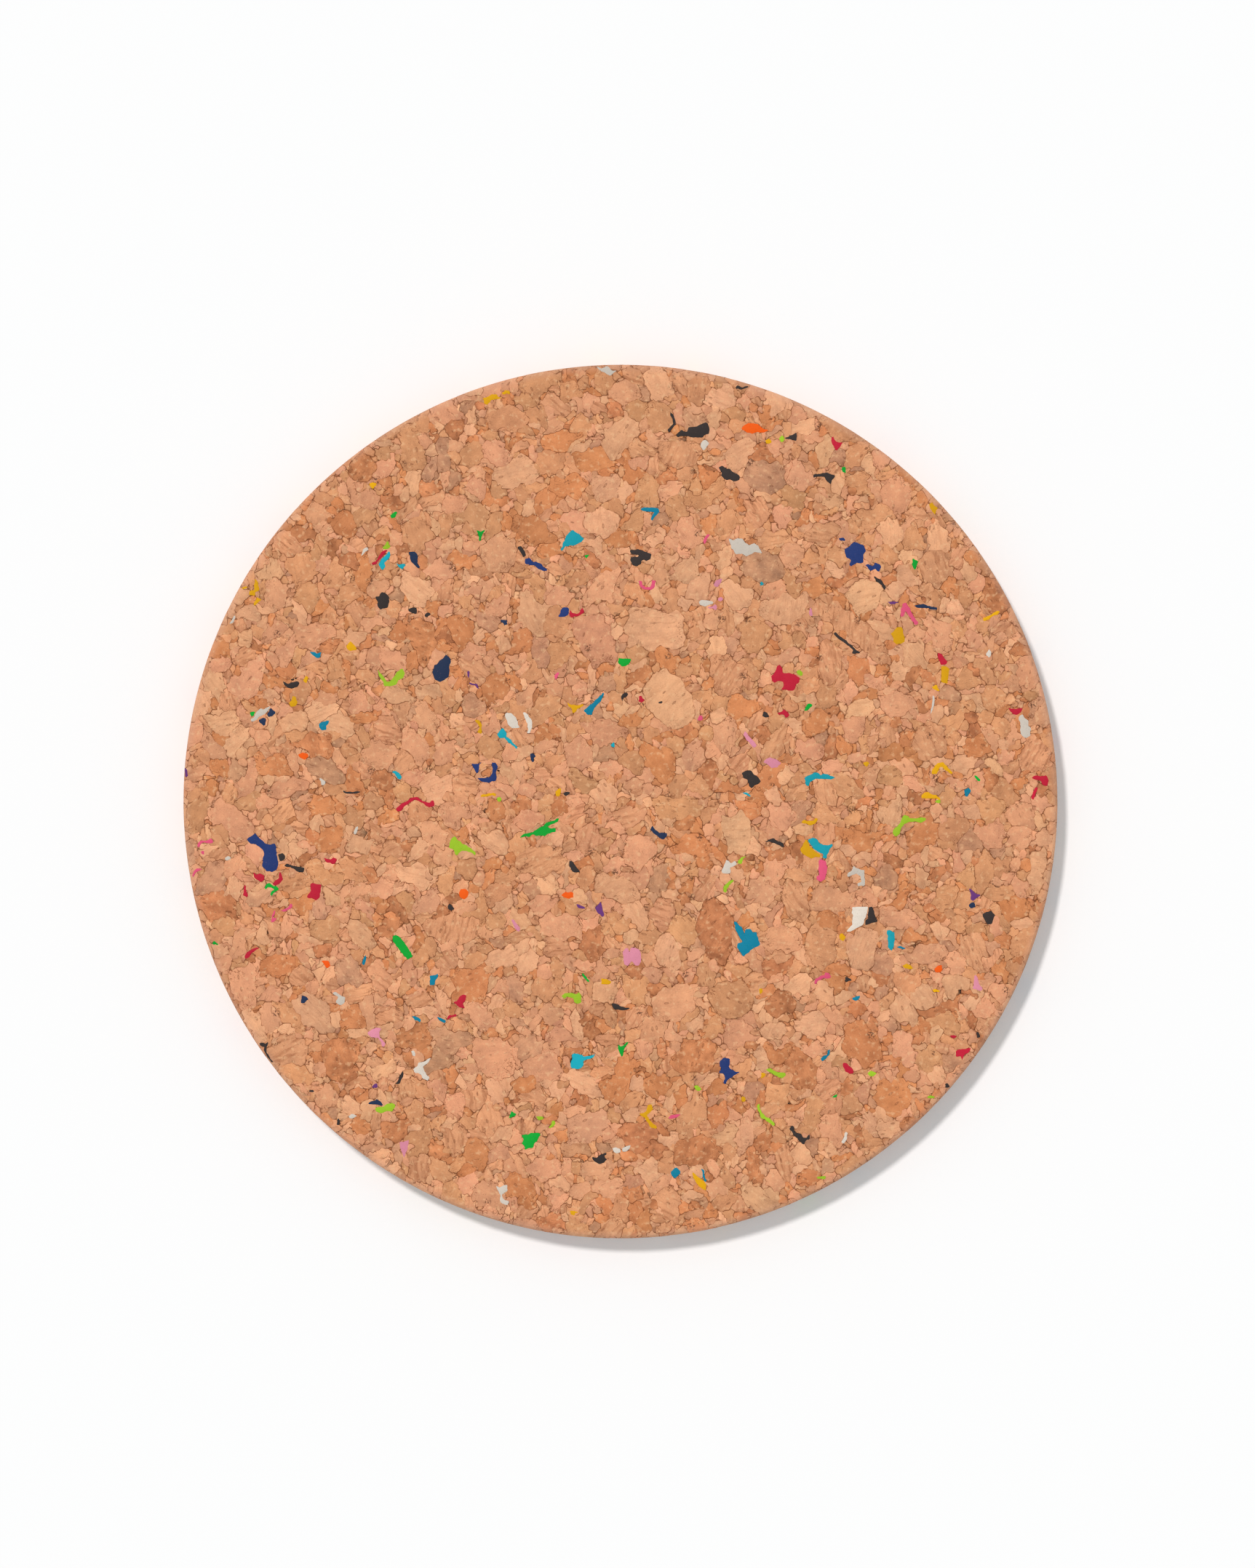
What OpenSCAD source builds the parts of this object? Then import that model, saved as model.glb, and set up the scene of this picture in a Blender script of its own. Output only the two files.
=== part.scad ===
// Round trivet pressed from cork granules and coloured foam chips
// Millimetres, +Z up, resting on z = 0, disc axis on the Z axis

/* [Disc] */
// Outside diameter of the disc
disc_d = 195; // [120:1:260]
// Thickness of the disc
disc_t = 10; // [8:0.5:20]
// Rounding of the two rims
edge_r = 1.2; // [0.4:0.1:2]

/* [Inlaid pieces] */
// Depth that a coloured chip reaches below the top face
chip_depth = 2.6; // [1:0.1:3]
// Depth that a large cork granule reaches below the top face
granule_depth = 3.2; // [1:0.1:3.5]

/* [Rim chips] */
// Chips that show in the side of each colour that has them
rim_chips_per_colour = 4; // [1:1:6]
// Width of a rim chip along the rim
rim_chip_w = 5; // [2:0.5:6]
// Height of a rim chip
rim_chip_h = 2.4; // [1:0.1:3]
// Depth that a rim chip reaches in from the side
rim_chip_depth = 2.2; // [1:0.1:4]

/* [Hidden] */
$fn = 96;
overrun = 1;
disc_r = disc_d / 2;
// Disc centre and radius in the photograph, in its pixels
photo_centre_px = [852.84, 1102.09];
photo_radius_px = 600.9;
photo_scale = disc_r / photo_radius_px;
// Middle height of the rim chips, under the large granules
rim_chip_z = (disc_t - granule_depth) / 2;
// Step between rim chips, the golden angle, so that none lines up
rim_chip_turn = 137.508;
// Share of a rim chip's half width at its upper and lower corners
rim_chip_corner_share = 0.55;

// Outlines of the coloured chips, in pixels of the photograph: x, y, x, y
black_px = [
    [711,752, 717,752, 721,757, 724,764, 720,766, 716,760, 713,756],
    [921,566, 926,573, 928,580, 929,584, 924,589, 920,595, 918,592, 921,588, 926,583, 924,577, 921,570],
    [929,598, 936,592, 945,595, 946,588, 951,588, 958,587, 964,583, 970,581, 975,587, 974,597, 968,598,
     966,602, 955,602, 945,600, 938,600, 931,601],
    [1011,534, 1014,531, 1019,533, 1028,531, 1029,532, 1021,535, 1017,536],
    [1079,603, 1085,600, 1090,598, 1094,595, 1095,600, 1094,606, 1088,605],
    [988,643, 992,641, 999,645, 1003,645, 1008,650, 1013,652, 1017,656, 1016,660, 1010,662, 1003,660,
     996,659, 992,655, 992,650],
    [1118,653, 1125,652, 1131,651, 1137,650, 1142,653, 1148,654, 1144,660, 1141,665, 1136,662, 1134,656,
     1126,655, 1118,657],
    [866,757, 872,757, 876,755, 884,758, 895,762, 894,769, 889,771, 885,770, 881,772, 881,776, 875,779,
     870,777, 867,769, 868,766, 877,766, 879,763, 868,762],
    [1201,793, 1206,795, 1212,799, 1217,807, 1216,812, 1212,805, 1204,799],
    [517,821, 522,820, 525,814, 530,816, 535,821, 535,830, 533,836, 528,836, 523,838, 520,835, 520,828],
    [389,937, 392,938, 396,941, 403,939, 409,937, 412,939, 409,944, 401,947, 395,945, 391,941],
    [472,1087, 477,1089, 487,1089, 496,1088, 496,1090, 487,1091, 476,1091, 473,1090],
    [561,838, 566,836, 572,836, 574,840, 572,844, 567,843, 562,841],
    [584,847, 587,842, 592,845, 589,847, 586,849],
    [773,1091, 779,1089, 784,1089, 781,1093, 776,1094],
    [856,954, 861,953, 864,954, 861,958, 857,960, 855,964, 854,960],
    [1146,871, 1149,869, 1153,875, 1160,879, 1168,886, 1176,893, 1182,898, 1176,899, 1171,898, 1173,894,
     1166,888, 1158,882, 1151,878],
    [1048,985, 1050,978, 1054,981, 1057,985, 1052,987],
    [1020,1063, 1024,1060, 1031,1059, 1036,1065, 1042,1069, 1046,1074, 1041,1078, 1037,1079, 1033,1084,
     1029,1080, 1028,1073, 1022,1069],
    [383,1175, 388,1173, 392,1176, 391,1182, 387,1184, 385,1182],
    [391,1190, 395,1188, 402,1190, 409,1192, 413,1192, 419,1193, 417,1199, 411,1199, 405,1195, 400,1192,
     392,1192],
    [615,1245, 618,1243, 622,1246, 625,1250, 620,1252, 616,1249],
    [841,1380, 845,1379, 852,1383, 858,1385, 865,1386, 860,1389, 852,1388, 844,1387],
    [1052,1158, 1058,1154, 1063,1153, 1069,1157, 1076,1159, 1078,1165, 1071,1162, 1064,1159, 1057,1157],
    [1194,1248, 1199,1247, 1201,1253, 1203,1261, 1206,1267, 1198,1269, 1188,1272, 1190,1265, 1193,1262,
     1193,1256],
    [1350,1257, 1355,1255, 1362,1253, 1367,1258, 1365,1264, 1363,1270, 1357,1271, 1353,1264],
    [356,1434, 361,1434, 365,1435, 369,1432, 368,1437, 366,1441, 367,1447, 372,1456, 375,1460, 373,1460,
     368,1453, 364,1445, 364,1439, 358,1437],
    [425,1500, 430,1498, 433,1500, 429,1502],
    [547,1488, 549,1480, 552,1476, 554,1471, 555,1476, 552,1483, 549,1489, 544,1490],
    [465,1537, 467,1542, 466,1547, 463,1546, 464,1542],
    [814,1591, 820,1592, 825,1588, 830,1586, 834,1586, 830,1589, 834,1594, 830,1598, 824,1600, 818,1597],
    [1085,1552, 1089,1548, 1091,1549, 1091,1554, 1095,1558, 1100,1558, 1104,1564, 1108,1565, 1112,1560,
     1112,1567, 1107,1568, 1105,1573, 1100,1570, 1094,1563, 1089,1557],
    [1342,1418, 1345,1420, 1347,1426, 1343,1427],
    [783,1183, 788,1186, 793,1193, 797,1199, 790,1200, 786,1196, 783,1191]
];
navy_px = [
    [562,759, 570,759, 574,763, 574,775, 577,780, 576,782, 571,777, 566,773, 564,765],
    [688,853, 697,853, 696,856, 699,859, 695,859, 693,861, 692,857, 689,855],
    [597,915, 601,914, 604,909, 610,905, 614,900, 618,905, 620,911, 617,915, 618,922, 617,930, 611,935,
     604,938, 598,934, 595,926],
    [373,973, 376,977, 379,981, 374,985, 369,986, 368,982],
    [356,990, 361,988, 366,988, 366,993, 363,999, 360,995],
    [729,1036, 734,1036, 736,1040, 733,1043, 734,1047, 731,1048, 729,1042],
    [415,1373, 417,1367, 424,1374, 418,1379, 414,1379],
    [507,1517, 510,1514, 514,1514, 518,1511, 522,1514, 527,1519, 525,1520, 519,1518, 511,1518],
    [894,1141, 897,1135, 901,1142, 906,1146, 911,1145, 917,1146, 916,1151, 911,1154, 905,1150, 899,1146],
    [1331,1245, 1334,1241, 1339,1241, 1340,1246, 1336,1249, 1332,1247],
    [1256,833, 1262,832, 1268,831, 1275,834, 1287,835, 1288,838, 1280,838, 1270,836, 1262,836]
];
royal_blue_px = [
    [722,768, 728,768, 733,773, 741,774, 752,784, 751,786, 742,783, 735,778, 722,775],
    [1153,741, 1158,739, 1162,744, 1155,743],
    [1161,755, 1166,753, 1174,745, 1182,749, 1187,750, 1189,758, 1186,763, 1186,774, 1177,774, 1170,779,
     1168,777, 1170,771, 1163,765],
    [1189,777, 1193,776, 1199,779, 1203,774, 1209,776, 1211,780, 1208,786, 1202,783, 1196,785],
    [771,839, 774,835, 780,835, 782,838, 781,844, 777,848, 767,848, 770,844],
    [648,1050, 655,1051, 662,1048, 658,1053, 658,1060, 656,1063, 652,1056],
    [676,1048, 681,1049, 685,1054, 682,1060, 682,1074, 677,1074, 671,1076, 663,1075, 656,1070, 663,1070,
     672,1070, 676,1066, 678,1058],
    [340,1154, 351,1146, 356,1152, 365,1160, 371,1162, 378,1160, 380,1169, 382,1182, 383,1189, 380,1196,
     374,1199, 366,1197, 361,1190, 362,1181, 364,1172, 362,1168, 353,1161, 345,1160],
    [990,1458, 995,1454, 1003,1456, 1003,1463, 1001,1466, 1004,1470, 1009,1473, 1016,1474, 1009,1478,
     1004,1481, 1000,1485, 996,1490, 993,1488, 997,1483, 994,1476, 989,1475, 991,1470, 989,1463]
];
teal_px = [
    [880,700, 886,698, 897,698, 905,700, 906,704, 901,710, 896,716, 895,713, 900,705, 890,703, 884,703],
    [426,896, 431,897, 436,899, 442,897, 441,901, 438,905, 433,903, 429,900],
    [439,995, 445,992, 453,991, 449,999, 448,1004, 443,1004, 439,1000],
    [802,977, 806,974, 811,970, 820,962, 829,953, 830,955, 825,965, 817,973, 813,983, 807,982],
    [1325,1087, 1331,1083, 1334,1087, 1330,1094, 1326,1095],
    [591,1342, 594,1341, 598,1341, 602,1339, 602,1343, 598,1348, 597,1354, 591,1354, 592,1348],
    [566,1397, 573,1398, 578,1402, 578,1405, 571,1402],
    [601,1398, 607,1400, 613,1403, 612,1406, 606,1404],
    [498,1325, 500,1318, 503,1313, 503,1320, 501,1327],
    [1009,1266, 1019,1275, 1023,1284, 1025,1278, 1031,1277, 1035,1282, 1040,1282, 1041,1290, 1045,1299,
     1036,1303, 1026,1311, 1022,1315, 1017,1308, 1013,1302, 1015,1297, 1021,1295, 1016,1287, 1011,1278],
    [1171,1373, 1176,1370, 1182,1369, 1181,1373, 1175,1376],
    [1129,1455, 1133,1451, 1137,1450, 1138,1444, 1141,1443, 1140,1449, 1136,1454, 1131,1459, 1129,1458],
    [922,1611, 926,1607, 930,1605, 935,1610, 935,1614, 928,1619, 923,1617],
    [963,1606, 968,1609, 968,1616, 971,1623, 969,1624, 966,1617, 966,1611],
    [1232,1302, 1238,1301, 1245,1304, 1240,1305]
];
turquoise_px = [
    [779,737, 787,729, 795,735, 803,741, 796,747, 790,750, 776,751, 773,758, 771,756, 774,748],
    [545,775, 549,777, 555,775, 558,777, 553,783, 549,780],
    [521,775, 524,770, 530,765, 535,759, 537,763, 533,770, 528,774, 530,779, 526,784, 522,779],
    [539,1061, 544,1060, 549,1063, 552,1068, 551,1072, 547,1070, 544,1065],
    [684,1010, 687,1005, 691,1001, 694,1005, 697,1010, 696,1013, 703,1018, 705,1022, 711,1028, 710,1030,
     703,1023, 699,1021, 694,1014, 689,1015, 685,1013],
    [839,1025, 844,1021, 845,1027, 841,1027],
    [1106,1070, 1112,1066, 1119,1063, 1124,1062, 1127,1066, 1133,1064, 1141,1067, 1148,1069, 1142,1072,
     1130,1071, 1120,1071, 1113,1075, 1111,1081, 1108,1081],
    [1021,1090, 1026,1090, 1033,1096, 1028,1094],
    [1110,1154, 1116,1152, 1122,1153, 1127,1160, 1132,1162, 1138,1163, 1144,1160, 1144,1163, 1139,1169,
     1137,1175, 1135,1180, 1131,1179, 1131,1174, 1125,1171, 1119,1167, 1114,1161],
    [1219,1279, 1223,1278, 1226,1281, 1229,1282, 1229,1292, 1228,1301, 1225,1307, 1221,1303, 1220,1292],
    [786,1450, 792,1449, 799,1450, 803,1453, 810,1452, 818,1449, 816,1453, 808,1456, 802,1458, 802,1464,
     798,1469, 791,1469, 785,1467, 784,1462, 787,1457]
];
green_px = [
    [655,729, 660,731, 667,729, 663,735, 661,743, 659,744, 658,736],
    [804,764, 810,763, 809,766, 806,768],
    [1157,643, 1161,642, 1163,651, 1158,649],
    [1254,768, 1261,772, 1259,781, 1256,784, 1254,778],
    [537,709, 543,704, 547,705, 543,711, 538,713],
    [344,980, 349,978, 351,979, 348,984, 345,985],
    [850,904, 853,906, 859,906, 868,906, 865,912, 859,916, 854,916, 850,911],
    [1105,977, 1108,973, 1110,968, 1113,967, 1116,970, 1113,974, 1108,978],
    [1339,1066, 1343,1068, 1347,1073, 1343,1074, 1340,1070],
    [364,1222, 367,1215, 371,1214, 376,1219, 381,1219, 384,1222, 380,1225, 376,1228, 374,1232, 372,1230,
     374,1225, 378,1223, 373,1220, 368,1220, 366,1223],
    [715,1152, 719,1147, 727,1146, 733,1144, 740,1139, 747,1136, 750,1132, 759,1129, 769,1124, 766,1130,
     758,1133, 752,1136, 756,1140, 764,1138, 763,1143, 755,1145, 748,1149, 740,1149, 732,1147, 727,1151,
     722,1149],
    [540,1288, 544,1285, 550,1289, 555,1294, 561,1303, 567,1315, 561,1319, 555,1313, 549,1305, 544,1298,
     540,1293],
    [800,1338, 802,1339, 808,1347, 810,1350, 807,1349, 802,1343],
    [701,1535, 703,1527, 706,1530, 710,1532, 706,1535, 700,1537],
    [717,1560, 725,1560, 731,1558, 739,1557, 742,1560, 739,1567, 734,1572, 733,1577, 727,1578, 722,1580,
     721,1575, 718,1573, 720,1566],
    [850,1436, 853,1439, 857,1438, 862,1432, 864,1432, 858,1441, 857,1446, 855,1453, 852,1447, 850,1443],
    [1143,1508, 1148,1505, 1151,1504, 1149,1508, 1145,1509]
];
lime_px = [
    [526,753, 531,748, 533,745, 537,752, 533,755, 529,755],
    [1071,603, 1074,599, 1078,602, 1078,606, 1074,609],
    [520,921, 522,925, 527,930, 531,937, 534,938, 540,934, 546,925, 549,922, 554,919, 556,927, 554,932,
     548,935, 545,941, 537,944, 529,943, 527,937, 521,929],
    [683,1097, 688,1096, 690,1099, 688,1102, 684,1102],
    [1094,924, 1098,921, 1103,925, 1103,929, 1099,929],
    [618,1162, 620,1154, 625,1150, 629,1155, 636,1160, 645,1165, 654,1172, 653,1175, 645,1171, 637,1169,
     632,1171, 629,1176, 626,1175, 625,1169, 619,1166],
    [772,1369, 777,1366, 784,1365, 791,1367, 796,1365, 799,1369, 799,1378, 794,1380, 789,1377, 788,1372,
     780,1370, 775,1373],
    [1014,1184, 1018,1180, 1025,1177, 1021,1181, 1019,1187, 1015,1187],
    [994,1221, 997,1216, 1002,1212, 1007,1210, 1008,1212, 1003,1216, 999,1221, 998,1227, 994,1226],
    [1227,1146, 1228,1140, 1233,1137, 1238,1130, 1241,1122, 1244,1120, 1250,1125, 1258,1126, 1265,1124,
     1273,1125, 1271,1129, 1265,1131, 1257,1129, 1250,1130, 1243,1132, 1238,1139, 1236,1146, 1232,1150,
     1229,1149],
    [516,1524, 521,1522, 527,1522, 531,1518, 539,1516, 543,1518, 543,1523, 539,1527, 531,1527, 524,1530,
     518,1528],
    [737,1535, 742,1535, 746,1535, 747,1538, 741,1540],
    [754,1550, 758,1546, 759,1540, 762,1541, 764,1545, 759,1549, 755,1551],
    [954,1493, 958,1492, 964,1497, 962,1500, 956,1498],
    [1053,1470, 1057,1468, 1063,1472, 1070,1474, 1078,1475, 1080,1478, 1076,1482, 1070,1481, 1064,1477,
     1056,1473],
    [1040,1520, 1043,1517, 1044,1524, 1048,1531, 1053,1536, 1058,1538, 1065,1545, 1064,1548, 1058,1544,
     1052,1539, 1046,1537, 1044,1530],
    [1192,1476, 1197,1472, 1201,1474, 1205,1476, 1200,1479, 1195,1479]
];
yellow_px = [
    [664,548, 669,547, 676,543, 683,543, 684,547, 690,547, 684,549, 676,550, 673,553, 670,557, 666,555],
    [508,665, 513,664, 518,665, 517,668, 513,672, 509,669],
    [1052,606, 1056,604, 1061,607, 1057,611, 1053,610],
    [1277,693, 1281,691, 1284,696, 1289,699, 1286,702, 1285,708, 1281,703, 1278,698],
    [332,808, 341,807, 338,810, 334,810],
    [351,796, 354,800, 357,811, 351,815, 350,820, 343,818, 343,813, 350,812],
    [353,821, 359,825, 355,829, 350,833, 349,829, 353,825],
    [477,888, 482,882, 486,887, 490,891, 489,894, 480,895, 477,892],
    [418,934, 422,929, 424,932, 421,939, 418,938],
    [403,957, 407,958, 409,966, 406,971, 400,972, 398,967, 401,963],
    [780,966, 784,969, 790,970, 797,970, 801,968, 802,971, 794,974, 790,980, 787,980, 787,974, 782,971],
    [653,990, 658,990, 662,996, 662,1001, 662,1008, 656,1007, 660,1001, 658,996],
    [661,1093, 668,1092, 678,1090, 682,1092, 681,1095, 677,1093, 669,1095, 661,1096],
    [764,1089, 767,1085, 771,1084, 770,1092, 767,1096, 764,1095],
    [1224,871, 1229,868, 1232,863, 1239,863, 1241,869, 1243,876, 1243,883, 1238,885, 1232,886, 1228,882,
     1227,876],
    [1351,850, 1357,848, 1363,845, 1369,840, 1374,841, 1371,845, 1364,847, 1358,852, 1352,854],
    [1293,917, 1300,916, 1304,920, 1303,930, 1302,940, 1293,938, 1294,928],
    [1186,1049, 1192,1047, 1195,1050, 1191,1054, 1187,1052],
    [1280,1061, 1284,1054, 1288,1050, 1295,1048, 1299,1052, 1304,1058, 1309,1062, 1307,1064, 1300,1060,
     1295,1054, 1291,1055, 1287,1064, 1281,1064],
    [1266,1095, 1270,1090, 1276,1089, 1281,1093, 1286,1093, 1292,1098, 1292,1101, 1286,1097, 1279,1098,
     1272,1097, 1267,1098],
    [1101,1131, 1105,1127, 1110,1129, 1116,1129, 1122,1125, 1124,1127, 1119,1133, 1113,1135, 1107,1132],
    [1100,1168, 1104,1161, 1107,1155, 1109,1156, 1113,1164, 1119,1170, 1125,1174, 1129,1175, 1127,1178,
     1120,1178, 1115,1180, 1107,1176, 1102,1173],
    [1043,1360, 1047,1359, 1048,1364, 1044,1366],
    [1153,1286, 1158,1283, 1162,1289, 1159,1294, 1155,1291],
    [1240,1328, 1245,1325, 1250,1327, 1255,1331, 1250,1332, 1244,1331],
    [827,1345, 834,1346, 840,1350, 838,1353, 827,1353],
    [1046,1475, 1052,1476, 1050,1481, 1046,1482],
    [1019,1510, 1022,1507, 1025,1509, 1024,1514, 1020,1514],
    [879,1531, 885,1530, 889,1527, 890,1520, 896,1518, 897,1525, 892,1530, 889,1533, 893,1540, 898,1546,
     903,1549, 901,1552, 895,1550, 890,1543, 886,1536, 882,1534],
    [952,1611, 955,1614, 961,1619, 967,1624, 970,1629, 970,1636, 967,1635, 961,1630, 956,1624, 953,1618]
];
orange_px = [
    [1019,590, 1024,584, 1032,582, 1042,584, 1047,590, 1056,592, 1050,595, 1041,594, 1036,596, 1026,595],
    [410,1038, 416,1035, 423,1037, 424,1041, 420,1044, 412,1041],
    [442,1321, 447,1321, 452,1322, 454,1328, 450,1331, 446,1326],
    [631,1229, 633,1223, 639,1222, 644,1226, 643,1233, 638,1236, 633,1234],
    [772,1231, 776,1227, 788,1227, 788,1234, 780,1235, 774,1233],
    [1284,1333, 1288,1328, 1294,1327, 1295,1333, 1291,1337, 1286,1337]
];
red_px = [
    [1142,603, 1145,601, 1147,607, 1153,609, 1158,609, 1154,615, 1150,620, 1147,616, 1143,609],
    [511,777, 512,774, 516,773, 520,768, 524,760, 531,756, 533,757, 528,763, 523,768, 519,772, 518,776],
    [784,839, 787,843, 793,845, 797,842, 801,836, 803,842, 798,846, 790,848, 785,849, 783,846],
    [1060,930, 1065,926, 1067,919, 1071,914, 1075,919, 1076,926, 1085,926, 1091,927, 1095,930, 1099,932,
     1098,938, 1094,941, 1090,950, 1083,949, 1075,948, 1077,943, 1077,938, 1071,936, 1064,939, 1061,936],
    [1068,981, 1073,979, 1078,976, 1082,979, 1086,983, 1080,987, 1076,983],
    [1289,898, 1293,899, 1297,905, 1302,911, 1300,914, 1293,914, 1291,908, 1289,904],
    [1386,974, 1393,975, 1405,974, 1403,979, 1398,983, 1392,982],
    [1417,1070, 1423,1066, 1430,1068, 1437,1066, 1441,1073, 1438,1081, 1433,1079, 1430,1073, 1424,1072],
    [1420,1090, 1422,1084, 1426,1083, 1423,1092, 1420,1100, 1417,1097],
    [349,1199, 352,1203, 358,1201, 363,1204, 364,1209, 359,1213, 354,1209, 350,1207],
    [385,1198, 388,1204, 389,1209, 384,1216, 379,1217, 375,1215, 379,1211, 384,1207],
    [336,1217, 338,1218, 339,1226, 341,1229, 340,1233, 334,1231, 336,1227],
    [446,1180, 450,1181, 455,1182, 459,1179, 464,1181, 462,1186, 457,1188, 453,1186, 448,1184],
    [427,1216, 430,1214, 436,1216, 442,1216, 441,1222, 440,1228, 440,1234, 435,1237, 428,1235, 423,1233,
     425,1229, 428,1223],
    [545,1112, 551,1106, 558,1103, 566,1097, 573,1096, 580,1101, 588,1104, 596,1101, 597,1108, 591,1110,
     583,1106, 576,1101, 570,1099, 563,1104, 556,1109, 551,1115, 546,1115],
    [337,1314, 342,1308, 349,1304, 357,1303, 352,1306, 346,1310, 342,1317, 338,1318],
    [623,1377, 629,1377, 632,1370, 637,1367, 641,1368, 640,1374, 636,1380, 639,1386, 633,1385, 628,1382],
    [614,1399, 618,1396, 627,1395, 627,1397, 618,1399, 615,1402],
    [1158,1462, 1163,1461, 1167,1465, 1172,1470, 1173,1475, 1168,1476, 1162,1473, 1159,1468],
    [1314,1446, 1316,1443, 1321,1443, 1327,1442, 1334,1441, 1330,1447, 1324,1450, 1322,1458, 1320,1452,
     1314,1452],
    [1305,1424, 1309,1423, 1315,1425, 1310,1428]
];
pink_px = [
    [967,747, 967,742, 971,736, 976,735, 972,740, 969,749],
    [878,799, 882,799, 883,805, 887,808, 894,808, 896,803, 896,798, 901,799, 900,806, 896,811, 886,811,
     880,807],
    [762,930, 765,925, 768,925, 767,930, 764,935],
    [1240,831, 1245,829, 1250,837, 1254,846, 1262,857, 1258,860, 1251,850, 1246,842, 1244,840, 1242,848,
     1238,848, 1238,838, 1241,835],
    [959,990, 961,983, 965,985, 966,990, 962,991],
    [272,1160, 277,1156, 284,1156, 290,1153, 294,1157, 290,1160, 283,1158, 277,1159, 274,1165, 272,1164],
    [276,1171, 281,1170, 281,1175, 278,1174],
    [265,1205, 267,1198, 271,1194, 278,1195, 272,1198, 268,1202, 266,1206],
    [401,1241, 402,1246, 396,1251, 390,1253, 386,1252, 395,1248],
    [377,1252, 379,1252, 376,1262, 380,1263, 375,1268, 373,1266],
    [1126,1182, 1131,1182, 1134,1184, 1137,1192, 1136,1200, 1134,1208, 1128,1212, 1122,1209, 1122,1205,
     1126,1203, 1125,1195],
    [1119,1352, 1121,1346, 1127,1342, 1133,1341, 1134,1337, 1139,1338, 1142,1343, 1137,1345, 1131,1345,
     1124,1348, 1121,1353],
    [918,1537, 924,1533, 931,1532, 935,1532, 930,1536, 923,1538]
];
lilac_px = [
    [981,803, 985,798, 993,796, 990,802, 986,808, 982,806],
    [987,823, 991,821, 994,824, 990,827, 987,826],
    [981,833, 983,831, 985,834, 984,839, 979,836, 973,837, 972,835, 976,835],
    [1112,842, 1114,836, 1116,842, 1117,847, 1113,846],
    [1022,1010, 1024,1005, 1027,1010, 1033,1017, 1038,1022, 1040,1026, 1036,1028, 1031,1022, 1025,1016],
    [1049,1048, 1056,1042, 1064,1043, 1073,1049, 1068,1055, 1061,1056, 1055,1051],
    [703,1264, 706,1264, 710,1270, 715,1276, 714,1280, 711,1280, 707,1273],
    [856,1309, 859,1304, 863,1303, 865,1310, 867,1303, 873,1303, 879,1306, 881,1314, 881,1321, 878,1328,
     873,1327, 868,1321, 863,1328, 858,1326, 857,1317],
    [1338,1352, 1340,1341, 1343,1342, 1345,1352, 1350,1360, 1347,1362, 1337,1359],
    [505,1420, 512,1415, 520,1413, 524,1414, 521,1420, 522,1426, 527,1431, 530,1435, 529,1439, 526,1438,
     524,1432, 519,1426, 511,1426],
    [550,1570, 556,1570, 562,1567, 561,1577, 557,1586, 556,1592, 553,1585, 551,1577]
];
purple_px = [
    [818,1248, 821,1246, 825,1240, 827,1245, 828,1252, 830,1258, 829,1261, 825,1257, 821,1254],
    [792,1243, 796,1244, 802,1246, 805,1249, 800,1249, 795,1248],
    [1332,1222, 1336,1224, 1340,1229, 1347,1230, 1343,1234, 1338,1238, 1334,1237, 1335,1231],
    [642,924, 645,923, 645,933, 643,930],
    [645,939, 656,941, 659,947, 657,947, 654,943, 646,941],
    [254,1056, 257,1058, 259,1067, 255,1068]
];
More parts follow.
